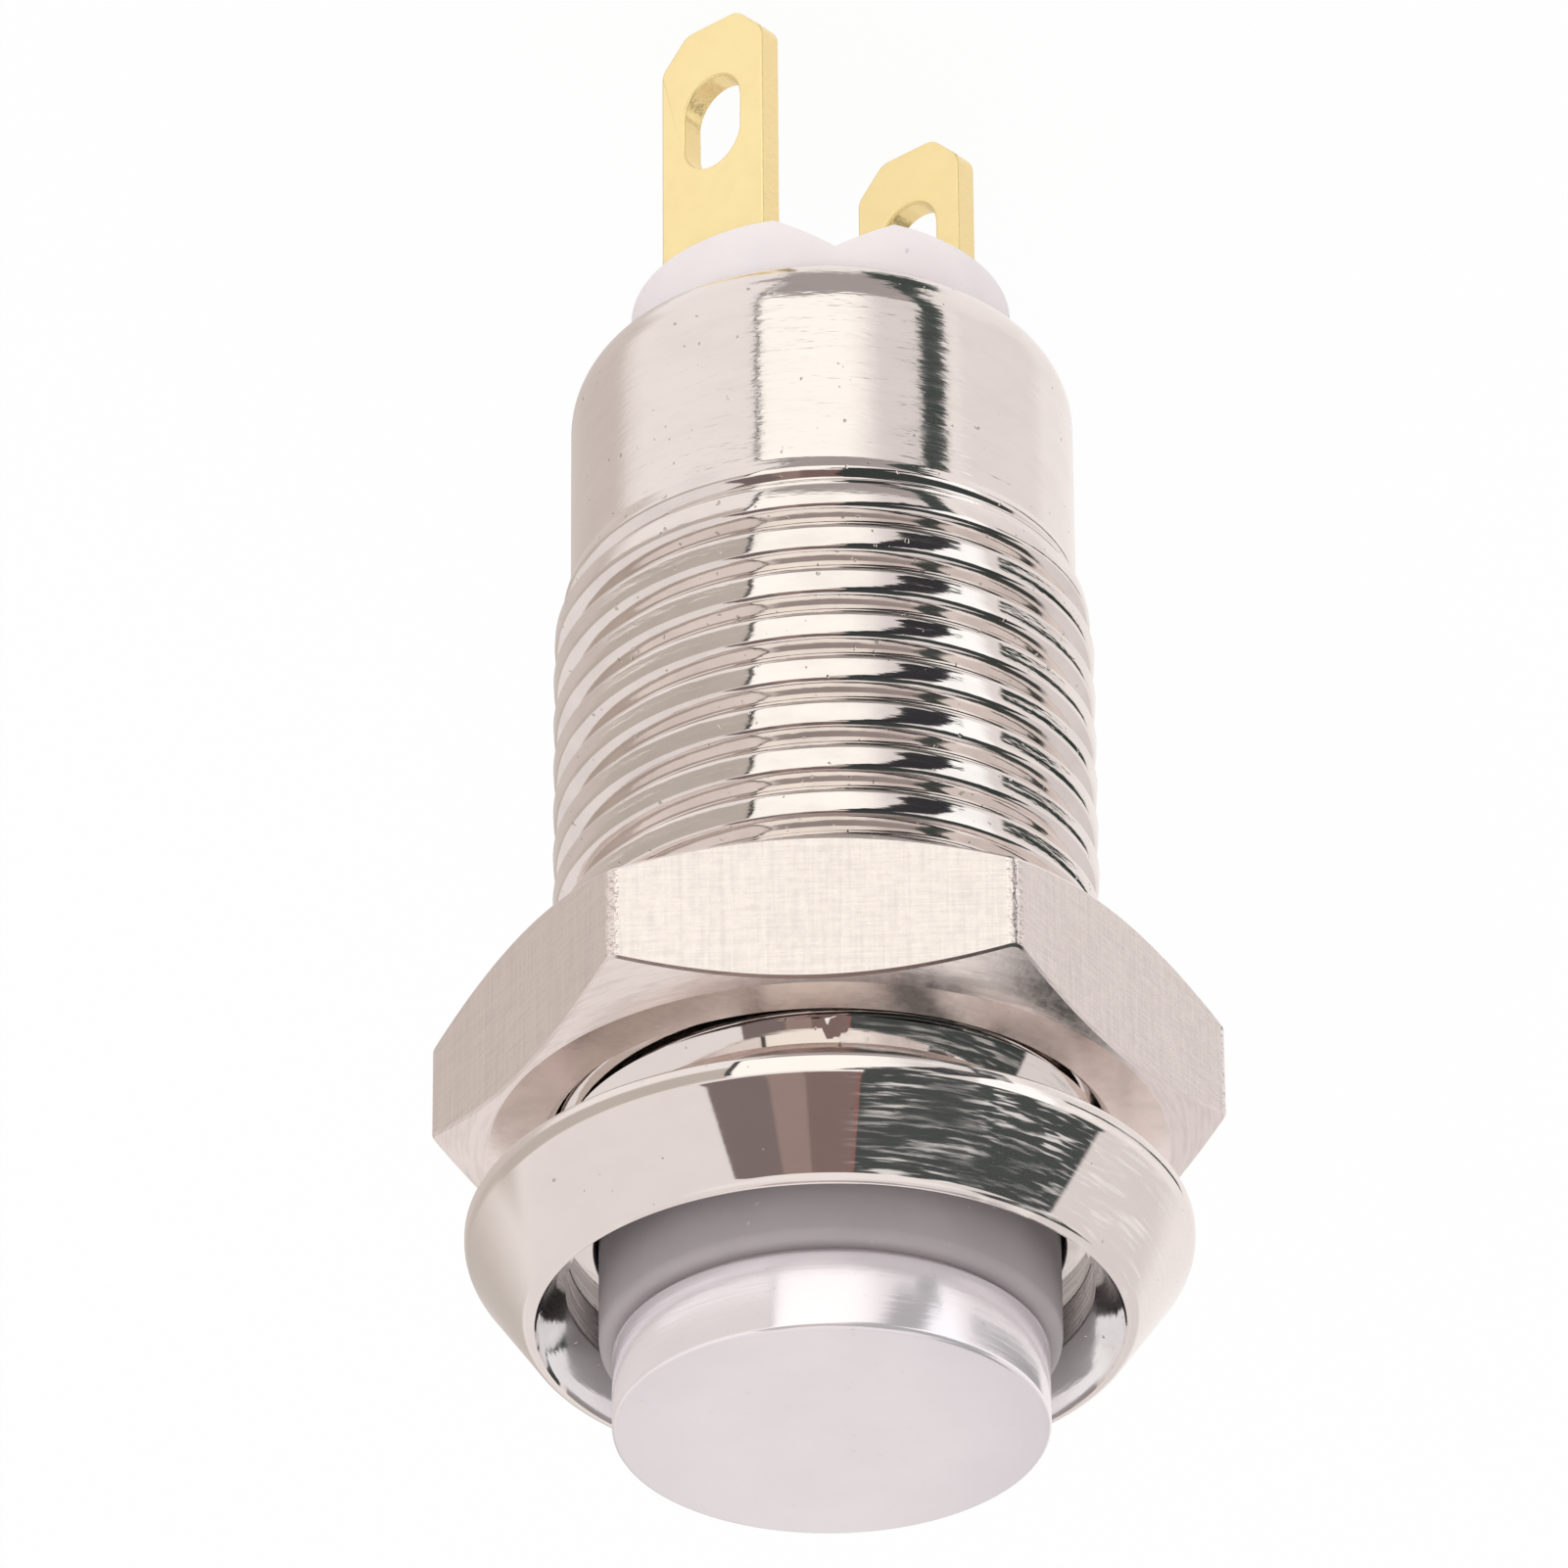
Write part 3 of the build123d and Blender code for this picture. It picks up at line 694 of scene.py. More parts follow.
def make_nut(sizes):
    """The nut: a spun ring whose walls are moved out to the hexagon and its bevelled edges."""
    slope = tan(sizes.bevel)
    inner = sizes.hole_r + sizes.hole_bevel
    front, rear = sizes.front, sizes.rear
    # The side, the face, how far a ring is drawn in and how far it drops from the bevel
    walls = (
        (-1, rear, -sizes.edge, 0), (-1, rear, 0, sizes.edge),
        (1, front, 0, sizes.edge), (1, front, -sizes.edge, 0),
    )
    # Until they are moved, the rings of the walls lie beyond the corners and are told by radius
    beyond = 0.65 * sizes.flats
    apart = 0.2 * MM
    ring = [(inner, rear), (sizes.face_r, rear)]
    ring += [(beyond + index * apart, wall[1]) for index, wall in enumerate(walls)]
    ring += [(sizes.face_r, front), (inner, front), (sizes.hole_r, front - sizes.hole_bevel)]
    ring += [(sizes.hole_r, rear + sizes.hole_bevel)]
    bm = turned([(*place, 0) for place in ring], steps=720, closed=True)
    for vert in bm.verts:
        radius = vert.co.xy.length
        if radius > beyond - 0.5 * apart:
            side, face, draw, drop = walls[round((radius - beyond) / apart)]
            out = hex_reach(atan2(vert.co.y, vert.co.x), sizes) + draw
            move_out(vert, out)
            vert.co.z = face - side * ((out - sizes.face_r) * slope + drop)
    bmesh.ops.recalc_face_normals(bm, faces=bm.faces)
    for face in bm.faces:
        middle = face.calc_center_median()
        if abs(face.normal.z) < 0.3 and middle.xy.length > 1.1 * sizes.hole_r:
            face.material_index = 1 if on_flat(atan2(middle.y, middle.x), sizes) else 2
    shade(bm, radians(20))
    return bm


def make_cap(sizes):
    """The cap: a turned cup over the plunger's boss."""
    inside = sizes.boss_r + sizes.play
    ceiling = sizes.collar_front + sizes.boss_h + sizes.play
    corners = [
        (0, sizes.face, 0),
        (0.5 * sizes.cap_r, sizes.face, 0),
        (sizes.cap_r, sizes.face, sizes.face_edge),
        (sizes.cap_r, sizes.collar_front + sizes.rear_edge, sizes.cap_edge),
        (sizes.cap_r - sizes.rear_edge, sizes.collar_front, 0),
        (inside, sizes.collar_front, 0),
        (inside, ceiling, 0),
        (0, ceiling, 0),
    ]
    bm = turned(corners, steps=192)
    shade(bm)
    return bm


def make_plunger(sizes, stem_end):
    """The plunger: a turned collar with its boss and spring pocket, and a stem with two flats."""
    corners = [
        (0, sizes.collar_front + sizes.boss_h, 0),
        (sizes.boss_r, sizes.collar_front + sizes.boss_h, sizes.edge),
        (sizes.boss_r, sizes.collar_front, 0),
        (sizes.collar_r, sizes.collar_front, sizes.collar_edge),
        (sizes.collar_r, sizes.collar_rear, sizes.edge),
        (sizes.pocket_r, sizes.collar_rear, sizes.edge),
        (sizes.pocket_r, sizes.pocket_top, 0),
        (0, sizes.pocket_top, 0),
    ]
    bm = turned(corners, steps=160)
    stem = bmesh.new()
    length = sizes.pocket_top - stem_end
    bmesh.ops.create_cone(
        stem, cap_ends=True, segments=48, radius1=sizes.stem_r, radius2=sizes.stem_r, depth=length
    )
    bmesh.ops.translate(stem, vec=(0, 0, stem_end + 0.5 * length), verts=stem.verts)
    for side in (1, -1):
        cut_off(stem, (0, side * 0.5 * sizes.stem_flats, 0), (0, side, 0))
    take_in(bm, stem)
    bmesh.ops.recalc_face_normals(bm, faces=bm.faces)
    shade(bm)
    return bm


def make_base(sizes):
    """The base before its groove and slots are cut."""
    corners = [
        (0, sizes.face, 0),
        (sizes.plug_r, sizes.face, 0),
        (sizes.plug_r, sizes.shoulder, 0),
        (sizes.shoulder_r - sizes.shoulder_bevel, sizes.shoulder, 0),
        (sizes.shoulder_r, sizes.shoulder + sizes.shoulder_bevel, 0),
        (sizes.shoulder_r, sizes.top, 0),
        (sizes.well_r, sizes.top, 0),
        (sizes.well_r, sizes.top - sizes.well_depth, 0),
        (0, sizes.top - sizes.well_depth, 0),
    ]
    return turned(corners, steps=144)


def groove_cutter(sizes):
    """A long three-sided bar that cuts the V groove across the base's rear face."""
    bm = bmesh.new()
    reach = 1.2 * sizes.plug_r
    slope = sizes.groove_half / sizes.groove_depth
    over = 0.2 * MM
    points = (
        (-sizes.groove_half - over * slope, sizes.face - over),
        (sizes.groove_half + over * slope, sizes.face - over),
        (0, sizes.face + sizes.groove_depth),
    )
    bm.faces.new([bm.verts.new((across, -reach, height)) for across, height in points])
    pull(bm, (0, 2 * reach, 0))
    turn_round(bm, bm.verts, sizes.groove_turn - radians(90), "Z")
    bmesh.ops.recalc_face_normals(bm, faces=bm.faces)
    return bm


def is_tip_corner(edge, sizes):
    """Whether an edge crosses the sheet where the cut corners of the tip begin or end."""
    first, second = (vert.co for vert in edge.verts)
    across = abs(first.y - second.y) + abs(first.z - second.z) < TINY
    return across and max(first.z, second.z) < sizes.tip + 1.1 * sizes.corner


def make_tag(sizes, side):
    """A solder tag: an L-shaped strip with two corners cut off at its tip."""
    outer = sizes.middle + 0.5 * sizes.thick
    inner = sizes.middle - 0.5 * sizes.thick
    corners = [
        (outer, sizes.foot, sizes.bend),
        (sizes.foot_inner, sizes.foot, 0),
        (sizes.foot_inner, sizes.foot - sizes.thick, 0),
        (inner, sizes.foot - sizes.thick, 0),
        (inner, sizes.tip, 0),
        (outer, sizes.tip, 0),
    ]
    bm = bmesh.new()
    wire_outline(bm, corners, closed=True)
    bmesh.ops.translate(bm, vec=(0, -0.5 * sizes.width, 0), verts=bm.verts)
    bmesh.ops.holes_fill(bm, edges=bm.edges)
    pull(bm, (0, sizes.width, 0))
    for way in (1, -1):
        cut_off(bm, (0, way * (0.5 * sizes.width - sizes.corner), sizes.tip), (0, way, -1))
    tip = [edge for edge in bm.edges if is_tip_corner(edge, sizes)]
    bmesh.ops.bevel(
        bm, geom=tip, offset=sizes.tip_round, offset_type="OFFSET", segments=5,
        profile=0.5, affect="EDGES", material=-1,
    )
    if side < 0:
        bmesh.ops.scale(bm, vec=(-1, 1, 1), verts=bm.verts)
    bmesh.ops.recalc_face_normals(bm, faces=bm.faces)
    return bm


def slot_cutter(sizes, side):
    """A bar with round ends that cuts the slot of a tag."""
    bm = bmesh.new()
    bmesh.ops.create_circle(bm, cap_ends=True, segments=48, radius=0.5 * sizes.slot_w)
    stretch = 0.5 * (sizes.slot_h - sizes.slot_w)
    for vert in bm.verts:
        vert.co.y += stretch if vert.co.y > 0 else -stretch
    turn_round(bm, bm.verts, radians(90), "X")
    turn_round(bm, bm.verts, radians(90), "Z")
    pull(bm, (3 * sizes.thick, 0, 0))
    start = side * sizes.middle - 1.5 * sizes.thick
    bmesh.ops.translate(bm, vec=(start, 0, sizes.slot_at), verts=bm.verts)
    bmesh.ops.recalc_face_normals(bm, faces=bm.faces)
    return bm


def make_coil(low, high, coil_r, wire_r, pitch):
    """A spring wound from round wire, its two ends closed."""
    steps, sides = 40, 12
    bm = bmesh.new()
    ring = bmesh.ops.create_circle(bm, cap_ends=True, segments=sides, radius=wire_r)["verts"]
    turn_round(bm, ring, radians(90), "X")
    bmesh.ops.translate(bm, vec=(coil_r, 0, low), verts=ring)
    turns = (high - low) / pitch
    total = round(steps * turns)
    bmesh.ops.spin(
        bm, geom=everything(bm), cent=(0, 0, 0), axis=(0, 0, 1),
        angle=2 * pi * turns, steps=total, dvec=(0, 0, (high - low) / total), use_merge=False,
    )
    bmesh.ops.remove_doubles(bm, verts=bm.verts, dist=0.1 * TINY)
    inner = [face for face in bm.faces if len(face.verts) == sides]
    bmesh.ops.delete(bm, geom=inner[1:-1], context="FACES")
    bmesh.ops.recalc_face_normals(bm, faces=bm.faces)
    shade(bm, radians(50))
    return bm


# Finishes


def turned_metal(name, colour, roughness, lines, depth, wander, dull, specks, scored=None):
    """Metal with fine turning lines: so many a millimetre, so deep, with wandering edges.

    Depth and wander are in millimetres. Dull is the tone of the darker patches, specks is
    how much of the surface has small pits, and scored is the side that has tool marks.
    """
    material, tree, shader = finish_of(name, colour, 1.0, roughness)
    turning = grain(tree, (0.35, 0.35, lines), 3.0, 0.6)
    drift = grain(tree, (1.1, 1.1, 5.0), 3.0, 0.65)
    pits = ramp(tree, grain(tree, (7.0, 7.0, 7.0), 1.0), 0.70 - specks, 0.76 - specks)
    relief(tree, shader, (turning, depth), (drift, wander), (pits, -0.004))
    if scored:
        score(tree, shader, scored)
    patches = ramp(tree, grain(tree, (0.9, 0.9, 2.2), 4.0, 0.6), 0.35, 0.75)
    tone = mix(tree, patches, colour, times(colour, dull))
    toned = mix(tree, maths(tree, "MULTIPLY", pits, 0.5), tone, (0.25, 0.21, 0.19))
    spread = ramp(tree, turning, 0.3, 0.8, 0.8 * roughness, 1.5 * roughness)
    give(tree, shader, Base_Color=toned, Roughness=spread)
    return material


def score(tree, shader, side):
    """Stray tool marks on one side of a turned piece, which scatter a little light."""
    place = put(tree, "ShaderNodeTexCoord").outputs["Object"]
    beside = maths(tree, "DIVIDE", along_axis(tree, place, side), MM)
    level = maths(tree, "DIVIDE", put(tree, "ShaderNodeSeparateXYZ", Vector=place).outputs[2], MM)
    flat = put(tree, "ShaderNodeCombineXYZ", X=beside, Z=level).outputs[0]
    slanted = put(
        tree, "ShaderNodeMapping", Vector=flat, Rotation=(0, radians(32), 0), Scale=(2.0, 1.0, 17.0)
    ).outputs[0]
    across = put(tree, "ShaderNodeTexNoise", Vector=slanted, Scale=1.0, Detail=2.0).outputs[0]
    round_it = ramp(tree, grain(tree, (1.0, 1.0, 18.0), 3.0, 0.6), 0.48, 0.64)
    far = ramp(tree, beside, 1.5, 2.3)
    marks = maths(tree, "MULTIPLY", ramp(tree, across, 0.50, 0.64), far)
    marks = maths(tree, "MULTIPLY_ADD", round_it, maths(tree, "SUBTRACT", 1.0, far), marks)
    where = ramp(tree, grain(tree, (0.8, 0.8, 1.6), 2.0), 0.36, 0.60, 0.15, 1.0)
    where = maths(tree, "MULTIPLY", where, ramp(tree, beside, 0.1, 0.7))
    shown = maths(tree, "MULTIPLY", marks, where)
    give(tree, shader, Metallic=maths(tree, "MULTIPLY_ADD", shown, -0.70, 0.97))


def nut_finish(colour, kind):
    """Satin nickel: crossed fine lines on the flats, turning lines on the faces, burred corners."""
    roughness = {"face": 0.22, "flat": 0.26, "corner": 0.09}[kind]
    material, tree, shader = finish_of(f"nut_{kind}_nickel", colour, 1.0, roughness)
    along = grain(tree, (1.2, 1.2, 24.0), 3.0, 0.6)
    upright = grain(tree, (17.0, 17.0, 0.7), 3.0, 0.6)
    rough = grain(tree, (7.0, 7.0, 7.0), 3.0, 0.65)
    crossed = 0.0 if kind == "face" else 0.0016
    burr = 0.022 if kind == "corner" else 0.0012
    relief(tree, shader, (along, 0.0012), (upright, crossed), (rough, burr))
    lines = along if kind == "face" else maths(tree, "MULTIPLY", maths(tree, "ADD", along, upright), 0.5)
    tone = mix(tree, ramp(tree, lines, 0.42, 0.64), colour, times(colour, 0.90))
    spread = ramp(tree, rough, 0.3, 0.7, roughness - 0.03, roughness + 0.05)
    give(tree, shader, Base_Color=tone, Roughness=spread)
    return material


def cap_finish(colour):
    """Satin turned aluminium, its face finely mottled, its side painted lighter as a painted highlight.
    """
    material, tree, shader = finish_of("cap_aluminium", colour, 0.6, 0.16)
    turning = grain(tree, (0.5, 0.5, 14.0), 3.0, 0.6)
    mottle = grain(tree, (6.0, 6.0, 6.0), 4.0, 0.6)
    across = stretched(tree, (9.0, 9.0, 0.0))
    out = put(tree, "ShaderNodeVectorMath", {"operation": "LENGTH"}, Vector=across)
    rings = put(
        tree, "ShaderNodeTexNoise", {"noise_dimensions": "1D"}, W=out.outputs["Value"], Scale=1.0
    )
    cloud = grain(tree, (0.7, 0.7, 0.7), 3.0, 0.55)
    relief(tree, shader, (turning, 0.0022), (mottle, 0.0012), (rings.outputs[0], 0.0008))
    tone = mix(tree, ramp(tree, cloud, 0.3, 0.75), colour, times(colour, 0.97))
    # Painted highlight: upright faces, the cap's side, get a colour 1.2 times lighter than the face.
    facing = put(tree, "ShaderNodeTexCoord").outputs["Normal"]
    upright = put(tree, "ShaderNodeSeparateXYZ", Vector=facing).outputs[2]
    side = ramp(tree, maths(tree, "ABSOLUTE", upright), 0.8, 0.5)
    tone = mix(tree, side, tone, times(colour, 1.2))
    specked = mix(tree, ramp(tree, mottle, 0.66, 0.74, 0.0, 0.25), tone, (0.5, 0.48, 0.48))
    give(tree, shader, Base_Color=specked, Roughness=ramp(tree, cloud, 0.3, 0.7, 0.13, 0.20))
    return material


def moulded_finish(name, colour, roughness, mottling, glow=0.0, dust=0.45):
    """Moulded plastic with a fine uneven skin, specks and a little light inside."""
    material, tree, shader = finish_of(name, colour, 0.0, roughness)
    skin = grain(tree, (9.0, 9.0, 9.0), 3.0, 0.6)
    cloud = grain(tree, (0.8, 0.8, 0.8), 3.0, 0.5)
    relief(tree, shader, (skin, 0.003))
    tone = mix(tree, ramp(tree, cloud, 0.3, 0.7), colour, times(colour, mottling))
    speck = ramp(tree, grain(tree, (5.0, 5.0, 5.0), 1.0), 0.74, 0.79, 0.0, 0.35)
    give(tree, shader, Base_Color=mix(tree, speck, tone, times(colour, dust)))
    if glow:
        give(
            tree, shader, Subsurface_Weight=glow, Subsurface_Radius=(1.0, 0.8, 0.8),
            Subsurface_Scale=0.4 * MM,
        )
    return material


def gold_finish(colour):
    """Thin gold plate: soft on the faces, torn and grainy on the sheared edges."""
    material, tree, shader = finish_of("tag_gold_plate", colour, 0.65, 0.20)
    facing = put(tree, "ShaderNodeTexCoord").outputs["Normal"]
    sideways = put(tree, "ShaderNodeSeparateXYZ", Vector=facing).outputs[0]
    edge = ramp(tree, maths(tree, "ABSOLUTE", sideways), 0.75, 0.45)
    tear = grain(tree, (7.0, 7.0, 9.0), 3.0, 0.65)
    skin = grain(tree, (4.0, 4.0, 4.0), 4.0, 0.6)
    relief(tree, shader, (maths(tree, "MULTIPLY", tear, edge), 0.013), (skin, 0.003))
    deep = [colour[0] * 0.95, colour[1] * 0.91, colour[2] * 0.84]
    tone = mix(tree, maths(tree, "MULTIPLY", edge, 0.6), colour, deep)
    cloud = ramp(tree, grain(tree, (0.8, 0.8, 0.8), 3.0), 0.35, 0.7)
    clouded = mix(tree, maths(tree, "MULTIPLY", cloud, 0.25), tone, deep)
    give(tree, shader, Base_Color=clouded, Roughness=ramp(tree, skin, 0.3, 0.7, 0.15, 0.24))
    return material


def plain_metal(name, colour, roughness):
    """Drawn or stamped metal of a hidden part, with slight streaks."""
    material, tree, shader = finish_of(name, colour, 1.0, roughness)
    streak = grain(tree, (3.0, 3.0, 12.0), 3.0, 0.6)
    relief(tree, shader, (streak, 0.002))
    tone = mix(tree, ramp(tree, streak, 0.35, 0.7), colour, times(colour, 0.8))
    give(tree, shader, Base_Color=tone)
    return material


# Studio

# Cards round the switch, seen only in its metal. In degrees: the first and last turn from
# the view and how soft those two ends are, the lowest and highest elevation and how soft
# they are, and how far the card turns for each degree of height. Then its strength and colour.
CARDS = {
    "left shade": (-112, -31, 12, 2, -25, 8, 4, 0, 1.0, (0.56, 0.51, 0.465)),
    "left rear shade": (-172, -112, 10, 14, -25, -10, 24, 0, 0.9, (0.56, 0.51, 0.465)),
    "far left": (-175, -118, 10, 30, -50, -24, 8, 0, 0.9, (0.66, 0.60, 0.565)),
    "upper left": (-172, -36, 8, 4, 14, 62, 10, 0, 1.0, (0.865, 0.825, 0.81)),
    "upper right": (60, 172, 8, 8, 6, 62, 10, 0, 1.0, (0.79, 0.75, 0.745)),
    "warm sheet": (-28, 9, 1.2, 20, -40, 9, 4, 0, 1.0, (1.20, 1.19, 1.13)),
    "grey fall": (30, 50, 12, 4, -75, 8, 4, 0, 0.8, (0.78, 0.74, 0.73)),
    "rim patch": (-24, 48, 4, 6, -73, -44, 4, 0, 1.0, (0.42, 0.385, 0.38)),
    "rim patch deep": (-64, 120, 8, 4, -84, -72, 2, 0, 1.0, (0.42, 0.385, 0.38)),
    "under": (-180, 180, 1, 1, -91, -84, 2, 0, 1.0, (0.42, 0.385, 0.38)),
    "thin gap": (-30.6, -28.9, 0.4, 0.4, -75, 3, 1, 0, 1.0, (0.05, 0.05, 0.05)),
    "white sheet": (46, 68, 3, 5, -27, 8, 3, 0, 1.0, (1.20, 1.22, 1.22)),
    "right beige": (70, 114, 6, 10, -40, -20, 8, 0, 0.32, (0.70, 0.66, 0.66)),
    "dark right low": (78, 136, 2, 4, -25.5, -21.5, 1, 0, 1.0, (0.03, 0.045, 0.04)),
    "dark strip": (47, 58, 1.5, 1.5, -66, -26, 2, 0, 1.0, (0.065, 0.08, 0.075)),
    "dark strip foot": (50, 73, 3, 4, -69, -59, 2, 0, 1.0, (0.065, 0.08, 0.075)),
    "dark strip base": (68, 152, 4, 6, -79, -67, 2, 0, 1.0, (0.065, 0.08, 0.075)),
    "dark leaning strip": (24, 44, 1.5, 2, -27, 8, 2, 0.9, 1.0, (0.04, 0.04, 0.045)),
    "brown left": (-39, -19, 1.2, 1.2, 18, 56, 2, 0, 1.0, (0.20, 0.155, 0.15)),
    "brown middle": (-19, -7, 1.2, 1.2, 18, 56, 2, 0, 1.0, (0.32, 0.235, 0.21)),
    "brown right": (-7, 9, 1.2, 0.6, 18, 56, 2, 0, 1.0, (0.215, 0.145, 0.135)),
    "red edge": (9, 10.5, 0.4, 0.4, 18, 56, 2, 0, 1.0, (0.26, 0.12, 0.11)),
    "dark right": (10.5, 89, 0.6, 2, 6, 44, 2.5, 0, 1.0, (0.045, 0.055, 0.052)),
    "dark right top": (10.5, 42, 0.6, 10, 42, 56, 2, 0, 1.0, (0.045, 0.055, 0.052)),
    "dark tail": (89, 126, 2, 6, 40, 62, 4, 0, 1.0, (0.05, 0.055, 0.05)),
}


def with_card(tree, seen, turn, height, card):
    """The colours that metal sees, with one more card standing in front of them."""
    first, last, soft_first, soft_last, low, high, soft, lean, strength, colour = card
    # A leaning card has its given turn at 15 degrees below the horizon
    leaning = maths(tree, "MULTIPLY_ADD", maths(tree, "ADD", height, radians(15)), lean, turn)
    middle = 0.5 * (first + last)
    off = maths(tree, "WRAP", maths(tree, "SUBTRACT", leaning, radians(middle)), pi, -pi)
    half = radians(0.5 * (last - first))
    mask = strength
    for value, out, full in (
        (off, -half - radians(soft_first), -half),
        (off, half + radians(soft_last), half),
        (height, radians(low - soft), radians(low)),
        (height, radians(high + soft), radians(high)),
    ):
        mask = maths(tree, "MULTIPLY", ramp(tree, value, out, full), mask)
    return mix(tree, mask, seen, colour)


def make_world(settings, towards, right):
    """A white room. Metal sees the cards that stand round the switch in it."""
    world = bpy.data.worlds.new("white_room")
    world.use_nodes = True
    tree = world.node_tree
    tree.nodes.clear()
    way = put(tree, "ShaderNodeTexCoord").outputs["Generated"]
    turn = maths(tree, "ARCTAN2", along_axis(tree, way, right), along_axis(tree, way, towards))
    height = maths(tree, "ARCSINE", along_axis(tree, way, (0, 0, 1)))
    seen = (0.96, 0.92, 0.90)
    for card in CARDS.values():
        seen = with_card(tree, seen, turn, height, card)
    path = put(tree, "ShaderNodeLightPath")
    plain = put(tree, "ShaderNodeBackground", Color=WHITE, Strength=settings.room)
    white = put(tree, "ShaderNodeBackground", Color=WHITE, Strength=1.0)
    cards = put(tree, "ShaderNodeBackground", Color=seen, Strength=1.0)
    glossy = blend(tree, path.outputs["Is Glossy Ray"], plain.outputs[0], cards.outputs[0])
    clear = maths(tree, "MAXIMUM", path.outputs["Is Camera Ray"], path.outputs["Is Transmission Ray"])
    shown = blend(tree, clear, glossy, white.outputs[0])
    tree.links.new(shown, put(tree, "ShaderNodeOutputWorld").inputs[0])
    bpy.context.scene.world = world


def make_floor(settings):
    """A plain pale floor just under the tags' tips, which shows as white and keeps a soft shadow."""
    bm = bmesh.new()
    bmesh.ops.create_grid(bm, x_segments=1, y_segments=1, size=1.5)
    height = cad_box[0][2] - settings.floor_gap
    bmesh.ops.translate(bm, vec=(0, 0, height), verts=bm.verts)
    material, tree, shader = finish_of("white_floor", (0.92, 0.92, 0.92), 0.0, 0.9)
    path = put(tree, "ShaderNodeLightPath")
    straight = maths(tree, "MAXIMUM", path.outputs["Is Camera Ray"], path.outputs["Is Glossy Ray"])
    straight = maths(tree, "MAXIMUM", straight, path.outputs["Is Transmission Ray"])
    glow = put(tree, "ShaderNodeEmission", Color=WHITE, Strength=1.0)
    plain = maths(tree, "MULTIPLY", straight, settings.floor_white)
    both = blend(tree, plain, shader.outputs[0], glow.outputs[0])
    tree.links.new(both, tree.nodes["Material Output"].inputs[0])
    mesh = mesh_of("floor", bm)
    mesh.materials.append(material)
    floor = object_of("floor", mesh)
    floor.visible_glossy = False


def make_camera(settings, towards, right):
    """The camera at the photograph's viewing angle, with the tags at the top of the picture."""
    up = Vector((0, 0, 1))
    rise, lean = settings.elevation, settings.roll
    image_down = cos(rise) * up - sin(rise) * towards
    depth = -sin(rise) * up - cos(rise) * towards
    across = cos(lean) * right - sin(lean) * image_down
    down = sin(lean) * right + cos(lean) * image_down
    place = -(settings.across * across + settings.down * down + settings.distance * depth)
    data = bpy.data.cameras.new("camera")
    data.lens = settings.lens
    data.sensor_width = 36.0
    data.clip_start = 0.005
    data.clip_end = 10.0
    camera = object_of("camera", data)
    turn = Matrix((across, -down, -depth)).transposed().to_4x4()
    camera.matrix_world = Matrix.Translation(place) @ turn
    bpy.context.scene.camera = camera


def make_key(settings, towards, right):
    """One large soft lamp near the camera, a little to the picture's upper left."""
    data = bpy.data.lights.new("key", "AREA")
    data.shape = "DISK"
    data.size = settings.key_size
    data.energy = settings.key
    data.color = (1.0, 0.97, 0.94)
    lamp = object_of("key", data)
    place = settings.key_front * towards + settings.key_side * right
    place += Vector((0, 0, settings.key_height))
    lamp.location = place
    lamp.rotation_euler = (-place).to_track_quat("-Z", "Y").to_euler()
    lamp.visible_glossy = False


# Operators


class SWITCH_OT_housing(bpy.types.Operator):
    """Builds the housing with its screw thread"""

    bl_idname = "switch.housing"
    bl_label = "Housing"

    def execute(self, context):
        scene = context.scene
        colours = scene.switch_finishes
        plain, dull, bright = tuple(colours.nickel), tuple(colours.bore), tuple(colours.sink)
        turn = scene.switch_housing.marked_side
        scored = (cos(turn), sin(turn), 0)
        # Colour, roughness, lines, depth, wander, tone of the patches, pits and marked side
        rows = {
            "barrel": (plain, 0.10, 22.0, 0.0014, 0.0092, 0.95, -0.04),
            "thread": (plain, 0.07, 16.0, 0.0006, 0.0040, 0.90, -0.03),
            "head": (plain, 0.04, 26.0, 0.0003, 0.0004, 0.97, -0.06, scored),
            # Painted shade: the bore takes the darker copy of the nickel.
            "bore": (dull, 0.28, 20.0, 0.0010, 0.0020, 0.80, 0.02),
            # Painted highlight: the countersink takes the lighter copy of the nickel.
            "sink": (bright, 0.08, 14.0, 0.0012, 0.0020, 0.92, -0.04),
        }
        finishes = [turned_metal(f"{zone}_nickel", *rows[zone]) for zone in ZONES]
        bm = make_housing(scene.switch_housing, scene.switch_thread)
        piece = new_piece("housing_body", bm, "housing", finishes, "housing")
        even_normals(piece)
        return {"FINISHED"}


class SWITCH_OT_nut(bpy.types.Operator):
    """Builds the hexagonal mounting nut"""

    bl_idname = "switch.nut"
    bl_label = "Nut"

    def execute(self, context):
        colour = tuple(context.scene.switch_finishes.nut_nickel)
        finishes = [nut_finish(colour, kind) for kind in ("face", "flat", "corner")]
        bm = make_nut(context.scene.switch_nut)
        new_piece("hex_nut", bm, "nut", finishes, "mounting_nut")
        return {"FINISHED"}


class SWITCH_OT_button(bpy.types.Operator):
    """Builds the button's cap and the plunger under it"""

    bl_idname = "switch.button"
    bl_label = "Button"

    def execute(self, context):
        sizes = context.scene.switch_button
        colours = context.scene.switch_finishes
        cap = cap_finish(tuple(colours.aluminium))
        grey = moulded_finish("collar_plastic", tuple(colours.collar), 0.42, 0.92, dust=1.9)
        new_piece("cap", make_cap(sizes), "button", (cap,), "button_cap")
        plunger = make_plunger(sizes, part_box("plunger")[0].z)
        new_piece("plunger_body", plunger, "button", (grey,), "plunger")
        return {"FINISHED"}


